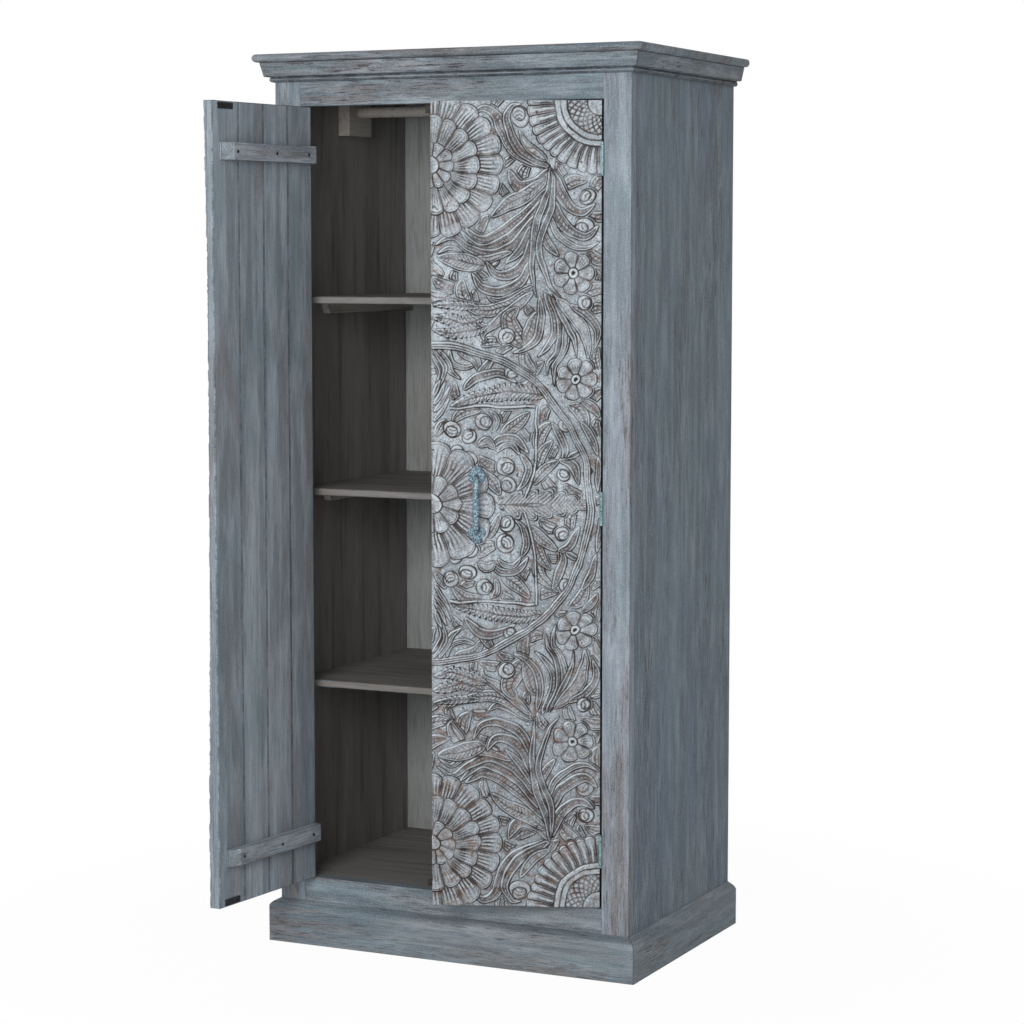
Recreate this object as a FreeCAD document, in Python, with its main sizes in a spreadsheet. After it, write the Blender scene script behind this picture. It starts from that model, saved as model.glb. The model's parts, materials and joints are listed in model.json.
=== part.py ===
"""A tall two-door wardrobe with carved door faces, built from boards.

Origin: on the floor, at the centre of the carcass footprint.
X points right, Y to the back and Z up. Lengths are millimetres, angles degrees.
The doors are stored as they stand in use: the left one open, the right one ajar.
"""
import FreeCAD, Part
import math
import os
import re

import Sketcher
from FreeCAD import Vector

# Driving sizes, kept in the document's sheet under these names.
SIZES = {
    # Carcass
    "overall_height": 1900,
    "carcass_width": 818,
    "carcass_depth": 560,
    "side_thickness": 20,
    "back_thickness": 14,
    "floor_thickness": 18,
    "board_chamfer": 1.5,
    # Face frame
    "frame_thickness": 26,
    "stile_width": 60,
    "bottom_rail_height": 145,
    "frieze_height": 92,
    # Top board and cornice
    "top_thickness": 17,
    "top_overhang": 36,
    "top_edge_radius": 8,
    "crown_height": 30,
    "crown_foot_projection": 18,
    "crown_top_projection": 25,
    "bead_height": 11,
    "bead_projection": 9,
    "bead_ease": 2.5,
    # Plinth and what carries the floor
    "plinth_thickness": 20,
    "plinth_face_height": 78,
    "plinth_bevel_height": 15,
    "back_rail_thickness": 20,
    "corner_block_width": 50,
    "bearer_width": 40,
    # Shelves
    "upper_shelf_height": 1392,
    "middle_shelf_height": 983,
    "lower_shelf_height": 569,
    "shelf_thickness": 15,
    "shelf_setback": 38,
    "cleat_width": 20,
    "cleat_height": 25,
    "cleat_setback": 150,
    "cleat_end_slant": 14,
    # Hanging rail
    "rail_radius": 11.5,
    "rail_drop": 93,
    "rail_setback": 287,
    "rail_socket_depth": 14,
    "rail_clearance": 0.1,
    "bracket_thickness": 27,
    "bracket_depth": 100,
    "bracket_height": 102,
    # Doors
    "left_rest_angle": 95,
    "right_rest_angle": 21.5,
    "door_gap": 3,
    "plank_thickness": 15,
    "panel_thickness": 11,
    # Door battens
    "batten_height": 37,
    "batten_thickness": 18,
    "batten_inset": 82,
    "batten_hinge_inset": 6,
    "batten_free_inset": 24,
    "batten_bevel_length": 26,
    "batten_end_thickness": 4,
    # Hinges
    "hinge_length": 66,
    "hinge_inset": 117,
    "hinge_proud": 3.6,
    "knuckle_radius": 3.5,
    "knuckle_gap": 0.3,
    "knuckle_clearance": 0.4,
    "leaf_thickness": 1.2,
    "leaf_depth": 22,
    "pin_radius": 2,
    "pin_clearance": 0.06,
    "pin_cap_radius": 3,
    "pin_cap_height": 1.6,
    # Pull handles
    "handle_height": 976,
    "handle_free_inset": 93,
    "handle_span": 118,
    "handle_standoff": 28,
    "grip_width": 15,
    "grip_thickness": 10,
    "foot_thickness": 3,
    "foot_reach": 21,
    # Carving of the door faces
    "carving_depth": 4,
    "carving_step": 1.5,
    "blossom_inset": 128,
    "blossom_radius": 146,
    "fan_radius": 146,
    "rosette_margin": 37,
    "ring_hinge_inset": 15,
    "ring_width": 13,
    "flower_radius": 43,
    "flower_hinge_inset": 55,
    "near_flower_rise": 257,
    "far_flower_rise": 480,
    "branch_hinge_inset": 105,
    "branch_inset": 135,
    "stem_hinge_inset": 138,
    "stem_inset": 355,
    "leaf_reach": 100,
    "knot_radius": 9,
    # Magnetic catches
    "strike_width": 50,
    "strike_height": 13,
    "strike_thickness": 1.5,
    "strike_free_inset": 18,
    "strike_edge_inset": 3,
    "catch_width": 46,
    "catch_depth": 15,
    "catch_height": 13,
    "catch_mount_height": 24,
    "catch_clearance": 0.3,
    "pole_width": 34,
    "pole_height": 6,
    "pole_thickness": 1,
    # Length by which a cutting solid runs past what it cuts
    "overrun": 5,
}

BACK_BOARD_COUNT = 5
PLANK_COUNT = 4
HINGE_COUNT = 3
KNUCKLE_COUNT = 3
KNUCKLE_SIDES = 12

# Profile of the plinth's rounded top: shares of its thickness and of its bevel height.
PLINTH_TOP_SHARES = ((1, 0), (0.84, 0.32), (0.55, 0.6), (0, 1))

# Sections of a pull from its lower to its upper foot: height as a share of half the span,
# distance out as a share of its reach, tilt as a share of a right angle, width and thickness.
GRIP_SHARES = (
    (-1, 0, 1, 0.7, 0.8),
    (-1, 0.55, 0.9, 0.6, 0.7),
    (-0.85, 0.92, 0.5, 0.7, 0.8),
    (-0.5, 1, 0, 0.95, 1),
    (0, 1, 0, 1, 1),
    (0.5, 1, 0, 0.95, 1),
    (0.85, 0.92, -0.5, 0.7, 0.8),
    (1, 0.55, -0.9, 0.6, 0.7),
    (1, 0, -1, 0.7, 0.8),
)

# Carved motifs: inner and outer radius of a sunk band, as shares of the motif's radius.
BLOSSOM_BAND_SHARES = (0.33, 0.69)
ROSETTE_BAND_SHARES = (0.18, 0.48)
FAN_BAND_SHARES = (0.23, 0.47)
# How far the valleys between two lobes stay from the centre, and those of a pull's foot.
LOBE_SHARE = 0.88
FOOT_SHARE = 0.45
# Leaves as a bend, a tip and a breadth, in shares of the leaf reach. The first number of a
# pair runs towards the hinge, the second away from the middle of the door.
BRANCH_LEAF_SHARES = (
    ((-0.75, 0.1), (-1.4, 1.1), 0.16),
    ((-0.25, 0.55), (-0.5, 0.95), 0.22),
    ((-0.8, -0.15), (-1.2, -0.95), 0.22),
    ((-0.55, -0.75), (-1.55, -1.15), 0.24),
    ((-0.45, -1.2), (-2.2, -1.5), 0.2),
    ((0.25, -0.6), (0.8, -0.55), 0.2),
    ((0.15, -1), (0.75, -1.2), 0.2),
    ((-0.1, -1.2), (-0.33, -2.2), 0.16),
)
STEM_LEAF_SHARES = (
    ((-0.5, -0.55), (-1.4, -0.6), 0.24),
    ((-0.4, 0.1), (-0.8, 0), 0.22),
    ((-0.2, -0.8), (-0.6, -1.25), 0.26),
    ((0.15, -0.6), (0.05, -1.2), 0.2),
    ((0.4, -0.5), (0.75, -1.3), 0.18),
)
# Leaves round the rosette, with their roots, as shares of the ring's radius.
MIDDLE_LEAF_SHARES = (
    ((0, 0.6), (0.3, -0.06), (0.64, 0.02), 0.07),
    ((0.62, 0.6), (0, -0.3), (-0.08, -0.56), 0.06),
    ((0.3, 0.3), (0.2, 0.06), (0.29, 0.26), 0.13),
    ((0.72, 0.52), (-0.02, -0.2), (0.08, -0.36), 0.09),
    ((0.14, 0.42), (0.1, 0.02), (0.2, 0.12), 0.08),
)
POINTED_LEAF_SHARES = ((0.54, 0), (0.21, 0), (0.42, 0), 0.16)
LEAF_STEPS = 4
LOBE_STEPS = 3
RING_STEPS = 14
BAND_STEPS = 8
BLOSSOM_LOBES = 7
ROSETTE_LOBES = 6
FAN_LOBES = 5
FLOWER_LOBES = 8
KNOT_LOBES = 3

# Places worked out from the driving sizes, used by name in the expressions below.
FORMULAS = {
    "half_width": "carcass_width / 2",
    "inner_half": "half_width - side_thickness",
    "front": "-carcass_depth / 2",
    "back": "carcass_depth / 2",
    "back_board_front": "back - back_thickness",
    "frame_back": "front + frame_thickness",
    "carcass_top": "overall_height - top_thickness",
    "opening_half": "half_width - stile_width",
    "frieze_underside": "carcass_top - frieze_height",
    "floor_underside": "bottom_rail_height - floor_thickness",
    "cornice_height": "bead_height + crown_height",
    "hinge_x": "opening_half - door_gap / 2",
    "hinge_y": "front - hinge_proud",
    "door_edge": "door_gap / 2",
    "door_width": "opening_half - door_gap * 3 / 2",
    "door_free_edge": "door_edge + door_width",
    "door_bottom": "bottom_rail_height + door_gap",
    "door_top": "frieze_underside - door_gap",
    "door_height": "door_top - door_bottom",
    "panel_front": "hinge_proud",
    "plank_front": "panel_front + panel_thickness",
    "door_back": "plank_front + plank_thickness",
    "strike_near": "door_free_edge - strike_free_inset - strike_width",
    "strike_centre": "strike_near + strike_width / 2",
    "closed_strike": "hinge_y + door_back + strike_thickness",
    "pole_front": "closed_strike + catch_clearance",
    "catch_front": "pole_front + pole_thickness",
    "knuckle_length": f"hinge_length / {KNUCKLE_COUNT}",
    "bore_radius": "pin_radius + pin_clearance",
    "rail_y": "front + rail_setback",
    "rail_height": "carcass_top - rail_drop",
    "carved_ground": "panel_front + carving_depth",
    "rosette_radius": "handle_free_inset + rosette_margin",
    "ring_radius": "door_width - ring_hinge_inset",
    "ring_inner_radius": "ring_radius - ring_width",
    "grip_root": "panel_front - foot_thickness / 2",
    "grip_out": "handle_standoff - foot_thickness / 2 - grip_thickness / 2",
}

doc = FreeCAD.newDocument("wardrobe")
sheet = doc.addObject("Spreadsheet::Sheet", "Sizes")
for row, (name, value) in enumerate(SIZES.items(), start=1):
    sheet.set(f"A{row}", str(value))
    sheet.setAlias(f"A{row}", name)
doc.recompute()

parts = []


def cells(text):
    """Turn a formula in plain names into one that reads the sheet's cells."""

    def swap(match):
        word = match.group(0)
        if word in FORMULAS:
            return "(" + cells(FORMULAS[word]) + ")"
        return "Sizes." + word if word in SIZES else word

    return re.sub(r"[a-z][a-z_0-9]*", swap, str(text))


def frame_at(x, y, z, turn="0", axis=("0", "0", "1")):
    """Expression of a placement at a point, turned about an axis."""
    point = "; ".join(cells(value) for value in (x, y, z))
    return f"placement(vector({point}); rotation(vector({'; '.join(axis)}); {cells(turn)}))"


CARCASS = frame_at("0", "0", "0")
DOOR_FRAMES = {
    "left": frame_at("-hinge_x", "hinge_y", "0", "-left_rest_angle"),
    "right": frame_at("hinge_x", "hinge_y", "0", "right_rest_angle"),
}
# Sign that carries a distance from the hinge axis into a door's own X.
SIGNS = {"left": "", "right": "-"}


def keep(piece, label):
    """Name a finished piece and list it for writing."""
    piece.Label = label
    parts.append(piece)
    return piece


def box(name, frame, corner, size):
    """A board with its lowest corner at a point of a frame."""
    piece = doc.addObject("Part::Box", name)
    for side, text in zip(("Length", "Width", "Height"), size):
        piece.setExpression(side, cells(text))
    piece.setExpression("Placement", f"{frame} * {frame_at(*corner)}")
    return piece


def cylinder(name, frame, base, radius, length, turn="0", axis=("0", "0", "1")):
    """A round bar standing on a point of a frame, turned from the upright."""
    piece = doc.addObject("Part::Cylinder", name)
    piece.setExpression("Radius", cells(radius))
    piece.setExpression("Height", cells(length))
    piece.setExpression("Placement", f"{frame} * {frame_at(*base, turn, axis)}")
    return piece


def prism(name, frame, base, radius, length):
    """A bar with KNUCKLE_SIDES flat sides, standing on a point of a frame."""
    piece = doc.addObject("Part::Prism", name)
    piece.Polygon = KNUCKLE_SIDES
    piece.setExpression("Circumradius", cells(radius))
    piece.setExpression("Height", cells(length))
    piece.setExpression("Placement", f"{frame} * {frame_at(*base)}")
    return piece


def fuse(name, pieces):
    joined = doc.addObject("Part::MultiFuse", name)
    joined.Shapes = pieces
    return joined


def cut(name, base, tool):
    piece = doc.addObject("Part::Cut", name)
    piece.Base = base
    piece.Tool = tool
    return piece


def group(name, pieces):
    """Several like solids that share one node."""
    gathered = doc.addObject("Part::Compound", name)
    gathered.Links = pieces
    return gathered


def draw_loops(sketch, *loops):
    """Draw closed straight-sided loops whose corners are bound to formulas."""
    for points in loops:
        first = sketch.GeometryCount
        count = len(points)
        turns = [2 * math.pi * index / count for index in range(count)]
        start = [Vector(math.cos(turn), math.sin(turn), 0) for turn in turns]
        for index in range(count):
            sketch.addGeometry(Part.LineSegment(start[index], start[(index + 1) % count]))
        for index in range(count):
            after = first + (index + 1) % count
            sketch.addConstraint(Sketcher.Constraint("Coincident", first + index, 2, after, 1))
        for index, corner in enumerate(points):
            for kind, here, text in zip(("DistanceX", "DistanceY"), start[index], corner):
                rule = Sketcher.Constraint(kind, -1, 1, first + index, 1, here)
                number = sketch.addConstraint(rule)
                sketch.setExpression(f"Constraints[{number}]", cells(text))


def outline(body, name, plane, *loops):
    """A sketch of closed loops on one of a body's planes."""
    sketch = body.newObject("Sketcher::SketchObject", name)
    support = [item for item in body.Origin.OriginFeatures if item.Role == plane]
    sketch.AttachmentSupport = [(support[0], "")]
    sketch.MapMode = "FlatFace"
    draw_loops(sketch, *loops)
    return sketch


def padded(name, frame, plane, points, length):
    """A body made by padding one outline, set in a frame."""
    body = doc.addObject("PartDesign::Body", name)
    sketch = outline(body, name + "_outline", plane, points)
    pad = body.newObject("PartDesign::Pad", name + "_pad")
    pad.Profile = sketch
    pad.setExpression("Length", cells(length))
    body.setExpression("Placement", frame)
    return body


# Carcass boards


def make_carcass():
    panel = ("side_thickness", "carcass_depth - frame_thickness", "carcass_top")
    keep(box("side_l", CARCASS, ("-half_width", "frame_back", "0"), panel), "left_side_panel")
    keep(box("side_r", CARCASS, ("inner_half", "frame_back", "0"), panel), "right_side_panel")
    between = "2 * inner_half"
    floor = (between, "back_board_front - frame_back", "floor_thickness")
    keep(box("floor", CARCASS, ("-inner_half", "frame_back", "floor_underside"), floor), "bottom_panel")
    rail = (between, "back_rail_thickness", "floor_underside")
    rail_corner = ("-inner_half", "back - back_rail_thickness", "0")
    keep(box("back_rail", CARCASS, rail_corner, rail), "plinth_back_rail")
    bearer_length = "back - back_rail_thickness - frame_back"
    bearer = ("bearer_width", bearer_length, "floor_underside")
    keep(box("bearer", CARCASS, ("-bearer_width / 2", "frame_back", "0"), bearer), "floor_bearer")


def make_back():
    """Upright boards with chamfered joints, between the sides and above the back rail."""
    width = f"2 * inner_half / {BACK_BOARD_COUNT}"
    chamfer = "board_chamfer"
    points = (
        ("0", "0"),
        (width, "0"),
        (width, f"back_thickness - {chamfer}"),
        (f"{width} - {chamfer}", "back_thickness"),
        (chamfer, "back_thickness"),
        ("0", f"back_thickness - {chamfer}"),
    )
    for index in range(BACK_BOARD_COUNT):
        place = frame_at(f"{index} * {width} - inner_half", "back_board_front", "floor_underside")
        name = f"back_board_{index + 1}"
        keep(padded(name, place, "XY_Plane", points, "carcass_top - floor_underside"), name)


def make_face_frame():
    stile = ("stile_width", "frame_thickness", "carcass_top")
    keep(box("stile_l", CARCASS, ("-half_width", "front", "0"), stile), "left_stile")
    keep(box("stile_r", CARCASS, ("opening_half", "front", "0"), stile), "right_stile")
    frieze = ("2 * opening_half", "frame_thickness", "frieze_height")
    keep(box("frieze", CARCASS, ("-opening_half", "front", "frieze_underside"), frieze), "frieze_rail")
    rail = ("2 * opening_half", "frame_thickness", "bottom_rail_height")
    keep(box("rail", CARCASS, ("-opening_half", "front", "0"), rail), "bottom_rail")


def make_corner_blocks():
    """Three-cornered glue blocks that stiffen the base in its four inner corners."""
    blocks = []
    leg = "corner_block_width"
    corners = (
        ("front_left", "-inner_half", "frame_back", "0"),
        ("front_right", "inner_half", "frame_back", "90"),
        ("back_right", "inner_half", "back - back_rail_thickness", "180"),
        ("back_left", "-inner_half", "back - back_rail_thickness", "270"),
    )
    for name, x, y, turn in corners:
        points = (("0", "0"), (leg, "0"), ("0", leg))
        place = frame_at(x, y, "0", turn)
        blocks.append(padded("block_" + name, place, "XY_Plane", points, "floor_underside"))
    keep(group("blocks", blocks), "plinth_corner_blocks")


# Mouldings that run round the front and both sides


def moulding(name, frame, points, reach, length, mitres):
    """A moulding along its own X, outward on -Y, with mitred ends where asked.

    The length is the inner one; a mitred end runs on by the profile's reach.
    """
    body = doc.addObject("PartDesign::Body", name)
    run = body.newObject("PartDesign::Pad", name + "_run")
    run.Profile = outline(body, name + "_profile", "YZ_Plane", points)
    run.SideType = "Two sides"
    run.setExpression("Length", cells(f"{length} + {reach}" if "end" in mitres else length))
    run.setExpression("Length2", cells(reach if "start" in mitres else "0"))
    past = f"({reach} + overrun)"
    wedges = {
        "start": (("overrun", "overrun"), (f"-{past}", f"-{past}"), (f"-{past}", "overrun")),
        "end": (
            (f"{length} - overrun", "overrun"),
            (f"{length} + {past}", f"-{past}"),
            (f"{length} + {past}", "overrun"),
        ),
    }
    mitre = body.newObject("PartDesign::Pocket", name + "_mitre")
    mitre.Profile = outline(body, name + "_wedges", "XY_Plane", *(wedges[end] for end in mitres))
    mitre.Type = "ThroughAll"
    mitre.SideType = "Symmetric"
    body.setExpression("Placement", frame)
    return body


def run_round(prefix, points, reach, base):
    """The same moulding on the front and on both sides, mitred at the front corners."""
    depth = "carcass_depth"
    front = frame_at("-half_width", "front", base)
    left = frame_at("-half_width", "back", base, "-90")
    right = frame_at("half_width", "front", base, "90")
    both = ("start", "end")
    keep(moulding(prefix + "_f", front, points, reach, "carcass_width", both), prefix + "_front")
    keep(moulding(prefix + "_l", left, points, reach, depth, ("end",)), prefix + "_left")
    keep(moulding(prefix + "_r", right, points, reach, depth, ("start",)), prefix + "_right")


def make_plinth():
    points = [("0", "0"), ("-plinth_thickness", "0")]
    for out, up in PLINTH_TOP_SHARES:
        rise = f"plinth_face_height + {up} * plinth_bevel_height"
        points.append((f"-{out} * plinth_thickness", rise))
    run_round("plinth", points, "plinth_thickness", "0")


def make_cornice():
    points = (
        ("0", "0"),
        ("bead_ease - bead_projection", "0"),
        ("-bead_projection", "bead_ease"),
        ("-bead_projection", "bead_height - bead_ease"),
        ("bead_ease - bead_projection", "bead_height"),
        ("-crown_foot_projection", "bead_height"),
        ("-crown_top_projection", "cornice_height"),
        ("0", "cornice_height"),
    )
    run_round("cornice", points, "crown_top_projection", "carcass_top - cornice_height")


def make_top():
    """The top board, with a rounded nose on the front and both sides."""
    body = doc.addObject("PartDesign::Body", "top")
    side = "half_width + top_overhang"
    nose = "front - top_overhang"
    points = ((f"-({side})", nose), (side, nose), (side, "back"), (f"-({side})", "back"))
    pad = body.newObject("PartDesign::Pad", "top_pad")
    pad.Profile = outline(body, "top_outline", "XY_Plane", points)
    pad.setExpression("Length", cells("top_thickness"))
    body.setExpression("Placement", frame_at("0", "0", "carcass_top"))
    doc.recompute()
    rear = pad.Shape.BoundBox.YMax
    nosed = []
    for number, edge in enumerate(pad.Shape.Edges, start=1):
        level = edge.BoundBox.ZLength < edge.Length / 2
        at_rear = edge.BoundBox.YMin > rear - SIZES["overrun"]
        if level and not at_rear:
            nosed.append(f"Edge{number}")
    rounding = body.newObject("PartDesign::Fillet", "top_nose")
    rounding.Base = (pad, nosed)
    rounding.setExpression("Radius", cells("top_edge_radius"))
    keep(body, "top_board")


# Inside fittings


def make_shelves():
    for name in ("upper", "middle", "lower"):
        level = f"{name}_shelf_height"
        start = "front + shelf_setback"
        size = ("2 * inner_half", f"back_board_front - ({start})", "shelf_thickness")
        corner = ("-inner_half", start, f"{level} - shelf_thickness")
        keep(box(name, CARCASS, corner, size), f"{name}_shelf")
        make_cleats(name, f"{level} - shelf_thickness")


def make_cleats(name, underside):
    """Two bearers under a shelf, one on each side, with a slanted front end."""
    start = "front + cleat_setback"
    points = (
        (start, "0"),
        (f"{start} + cleat_end_slant", "-cleat_height"),
        ("back_board_front", "-cleat_height"),
        ("back_board_front", "0"),
    )
    cleats = []
    for side, x in (("left", "-inner_half"), ("right", "inner_half - cleat_width")):
        place = frame_at(x, "0", underside)
        cleats.append(padded(f"{name}_cleat_{side}", place, "YZ_Plane", points, "cleat_width"))
    keep(group(f"{name}_cleats", cleats), f"{name}_shelf_cleats")


def make_hanging_rail():
    """A round rail whose ends sit in blind sockets of two side blocks."""
    across = ("0", "1", "0")
    reach = "inner_half - bracket_thickness + rail_socket_depth"
    rail_start = (f"-({reach})", "rail_y", "rail_height")
    keep(cylinder("bar", CARCASS, rail_start, "rail_radius", f"2 * ({reach})", "90", across), "hanging_rail")
    size = ("bracket_thickness", "bracket_depth", "bracket_height")
    y = "rail_y - bracket_depth / 2"
    z = "rail_height - bracket_height / 2"
    socket_length = "rail_socket_depth + overrun"
    socket_radius = "rail_radius + rail_clearance"
    places = (
        ("left", "-inner_half", f"-({reach})"),
        ("right", "inner_half - bracket_thickness", f"{reach} - rail_socket_depth - overrun"),
    )
    for side, x, socket_x in places:
        block = box(f"bracket_{side}_block", CARCASS, (x, y, z), size)
        socket_start = (socket_x, "rail_y", "rail_height")
        name = f"bracket_{side}_socket"
        socket = cylinder(name, CARCASS, socket_start, socket_radius, socket_length, "90", across)
        keep(cut(f"bracket_{side}", block, socket), f"rail_bracket_{side}")


def make_catches():
    """Magnetic catches behind the doors: two on the floor and two behind the frieze."""
    housings = []
    poles = []
    top_z = "door_top - strike_edge_inset - strike_height / 2 - catch_height / 2"
    top_points = (
        ("catch_front", "0"),
        ("catch_front + catch_depth", "0"),
        ("catch_front + catch_depth", "catch_mount_height + catch_height"),
        ("frame_back", "catch_mount_height + catch_height"),
        ("frame_back", f"frieze_underside - ({top_z})"),
        ("catch_front", f"frieze_underside - ({top_z})"),
    )
    bottom_points = (
        ("catch_front", "0"),
        ("catch_front + catch_depth", "0"),
        ("catch_front + catch_depth", "catch_height"),
        ("catch_front", "catch_height"),
    )
    ends = (("top", top_z, top_points), ("bottom", "bottom_rail_height", bottom_points))
    for end, z, points in ends:
        for side, middle in (("left", "strike_centre - hinge_x"), ("right", "hinge_x - strike_centre")):
            place = frame_at(f"{middle} - catch_width / 2", "0", z)
            housings.append(padded(f"catch_{end}_{side}", place, "YZ_Plane", points, "catch_width"))
            corner = (f"{middle} - pole_width / 2", "pole_front", f"{z} + catch_height / 2 - pole_height / 2")
            size = ("pole_width", "pole_thickness", "pole_height")
            poles.append(box(f"pole_{end}_{side}", CARCASS, corner, size))
    keep(group("housings", housings), "catch_housings")
    keep(group("poles", poles), "catch_magnets")


# Hinges: each has a frame leaf with the outer knuckles, a door leaf with the middle one, and a pin


def hinge_levels():
    """Heights of the hinges' lower ends, spread evenly between the insets."""
    spread = f"(door_height - 2 * hinge_inset) / {HINGE_COUNT - 1}"
    return [
        f"door_bottom + hinge_inset + {index} * {spread} - hinge_length / 2"
        for index in range(HINGE_COUNT)
    ]


def hinge_leaf(name, frame, plate_x, low, own, other):
    """One leaf: a plate and its knuckles, bored for the pin and notched for the other leaf."""
    plate_size = ("leaf_thickness", "hinge_proud + leaf_depth", "hinge_length")
    solids = [box(name + "_plate", frame, (plate_x, "0", low), plate_size)]
    for index in own:
        base = ("0", "0", f"{low} + {index} * knuckle_length + knuckle_gap / 2")
        length = "knuckle_length - knuckle_gap"
        solids.append(prism(f"{name}_knuckle_{index}", frame, base, "knuckle_radius", length))
    tools = []
    room = "knuckle_radius + knuckle_clearance"
    for index in other:
        corner = (f"-({room})", f"-({room})", f"{low} + {index} * knuckle_length - knuckle_gap / 2")
        size = (f"2 * ({room})", f"2 * ({room})", "knuckle_length + knuckle_gap")
        tools.append(box(f"{name}_notch_{index}", frame, corner, size))
    bore_base = ("0", "0", f"{low} - overrun")
    bore_length = "hinge_length + 2 * overrun"
    tools.append(cylinder(name + "_bore", frame, bore_base, "bore_radius", bore_length))
    return cut(name, fuse(name + "_blank", solids), fuse(name + "_tools", tools))


def hinge_pin(name, frame, low):
    """A pin with a low cap that rests on the top knuckle."""
    shank = cylinder(name + "_shank", frame, ("0", "0", low), "pin_radius", "hinge_length")
    cap_base = ("0", "0", f"{low} + hinge_length")
    cap = prism(name + "_cap", frame, cap_base, "pin_cap_radius", "pin_cap_height")
    return fuse(name, [shank, cap])


def make_hinges():
    """Frame leaves and pins of both doors stay with the carcass; door leaves swing."""
    outer = range(0, KNUCKLE_COUNT, 2)
    middle = range(1, KNUCKLE_COUNT, 2)
    leaves = []
    pins = []
    still_frames = {
        "left": frame_at("-hinge_x", "hinge_y", "0"),
        "right": frame_at("hinge_x", "hinge_y", "0"),
    }
    frame_plate = {"left": "-door_edge", "right": "door_edge - leaf_thickness"}
    door_plate = {"left": "door_edge - leaf_thickness", "right": "-door_edge"}
    for side in ("left", "right"):
        swinging = []
        still = still_frames[side]
        for index, low in enumerate(hinge_levels(), start=1):
            name = f"{side}_hinge_{index}"
            leaves.append(hinge_leaf(name + "_frame", still, frame_plate[side], low, outer, middle))
            pins.append(hinge_pin(name + "_pin", still, low))
            door_frame = DOOR_FRAMES[side]
            swinging.append(hinge_leaf(name + "_door", door_frame, door_plate[side], low, middle, outer))
        keep(group(side + "_leaves", swinging), side + "_door_hinge_leaves")
    keep(group("frame_leaves", leaves), "hinge_frame_leaves")
    keep(group("pins", pins), "hinge_pins")


# Doors: upright planks behind a carved face, held by two battens


def door_box(name, side, near, front, low, size):
    """A board of a door, placed by its distance from the hinge axis."""
    x = near if side == "left" else f"-({near}) - ({size[0]})"
    return box(name, DOOR_FRAMES[side], (x, front, low), size)


def door_padded(name, side, points, low, length):
    """A piece of a door padded upwards from a plan whose X is the distance from the hinge."""
    sign = SIGNS[side]
    turned = [(f"{sign}({x})", y) for x, y in points]
    frame = f"{DOOR_FRAMES[side]} * {frame_at('0', '0', low)}"
    return padded(name, frame, "XY_Plane", turned, length)


def make_planks(side):
    width = f"door_width / {PLANK_COUNT}"
    for index in range(PLANK_COUNT):
        near = f"door_edge + {index} * {width}"
        far = f"door_edge + {index + 1} * {width}"
        points = (
            (near, "plank_front"),
            (far, "plank_front"),
            (far, "door_back - board_chamfer"),
            (f"{far} - board_chamfer", "door_back"),
            (f"{near} + board_chamfer", "door_back"),
            (near, "door_back - board_chamfer"),
        )
        name = f"{side}_door_plank_{index + 1}"
        keep(door_padded(name, side, points, "door_bottom", "door_height"), name)


# Carved door faces: motifs that stand on a lowered ground, some with a band sunk into them


def lobed(radius, lobes, first, last, valley=LOBE_SHARE):
    """Points along a lobed edge, from one angle to another."""
    points = []
    steps = lobes * LOBE_STEPS
    for step in range(steps + 1):
        turn = math.radians(first + (last - first) * step / steps)
        reach = valley + (1 - valley) * math.sin(math.pi * (step % LOBE_STEPS) / LOBE_STEPS)
        across = f"{reach * math.cos(turn):.5f} * {radius}"
        points.append((across, f"{reach * math.sin(turn):.5f} * {radius}"))
    return points


def arc_band(inner, outer, steps, first, last):
    """Points round a plain band between two radii, from one angle to another."""
    turns = [math.radians(first + (last - first) * step / steps) for step in range(steps + 1)]
    points = [(f"{math.cos(turn):.5f} * {outer}", f"{math.sin(turn):.5f} * {outer}") for turn in turns]
    for turn in reversed(turns):
        points.append((f"{math.cos(turn):.5f} * {inner}", f"{math.sin(turn):.5f} * {inner}"))
    return points


def leaf(bend, tip, breadth, reach):
    """A curved leaf, pointed at both ends, from the origin over its bend to its tip."""
    one_side = []
    other_side = []
    for step in range(1, LEAF_STEPS):
        part = step / LEAF_STEPS
        x, z = (2 * part * (1 - part) * b + part * part * t for b, t in zip(bend, tip))
        run_x, run_z = ((1 - 2 * part) * b + part * t for b, t in zip(bend, tip))
        half = breadth / 2 * math.sin(math.pi * part) / math.hypot(run_x, run_z)
        one_side.append((x - run_z * half, z + run_x * half))
        other_side.append((x + run_z * half, z - run_x * half))
    points = [(0, 0), *one_side, tip, *reversed(other_side)]
    return [(f"{x:.4f} * {reach}", f"{z:.4f} * {reach}") for x, z in points]


def motif_solid(name, side, place, points, flip, base, height):
    """An outline's solid, from its place behind the free edge and its height on the door."""
    across, up = place
    turned = "-" if side == "left" else ""
    drawn = [(f"{turned}({x})", f"{flip} * ({z})") for x, z in points]
    x = f"{SIGNS[side]}(door_free_edge - ({across}))"
    frame = f"{DOOR_FRAMES[side]} * {frame_at(x, base, up)}"
    return padded(name, frame, "XZ_Plane", drawn, height)


def motif(name, door, place, points, flip=1, band=None):
    """A raised motif with its sunk band, if it has one, trimmed to the door's outline."""
    side, limits = door
    solid = motif_solid(name, side, place, points, flip, "carved_ground", "carving_depth")
    if band:
        base = "panel_front + carving_step"
        height = "carving_step + overrun"
        tool = motif_solid(name + "_band", side, place, band, flip, base, height)
        solid = cut(name + "_hollowed", solid, tool)
    trimmed = doc.addObject("Part::Common", name + "_trimmed")
    trimmed.Base = limits
    trimmed.Tool = solid
    return trimmed


def band_points(radius, shares, first, last):
    """A sunk band of a lobed motif, given by shares of its radius."""
    inner, outer = shares
    return arc_band(f"{inner} * {radius}", f"{outer} * {radius}", BAND_STEPS, first, last)


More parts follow.
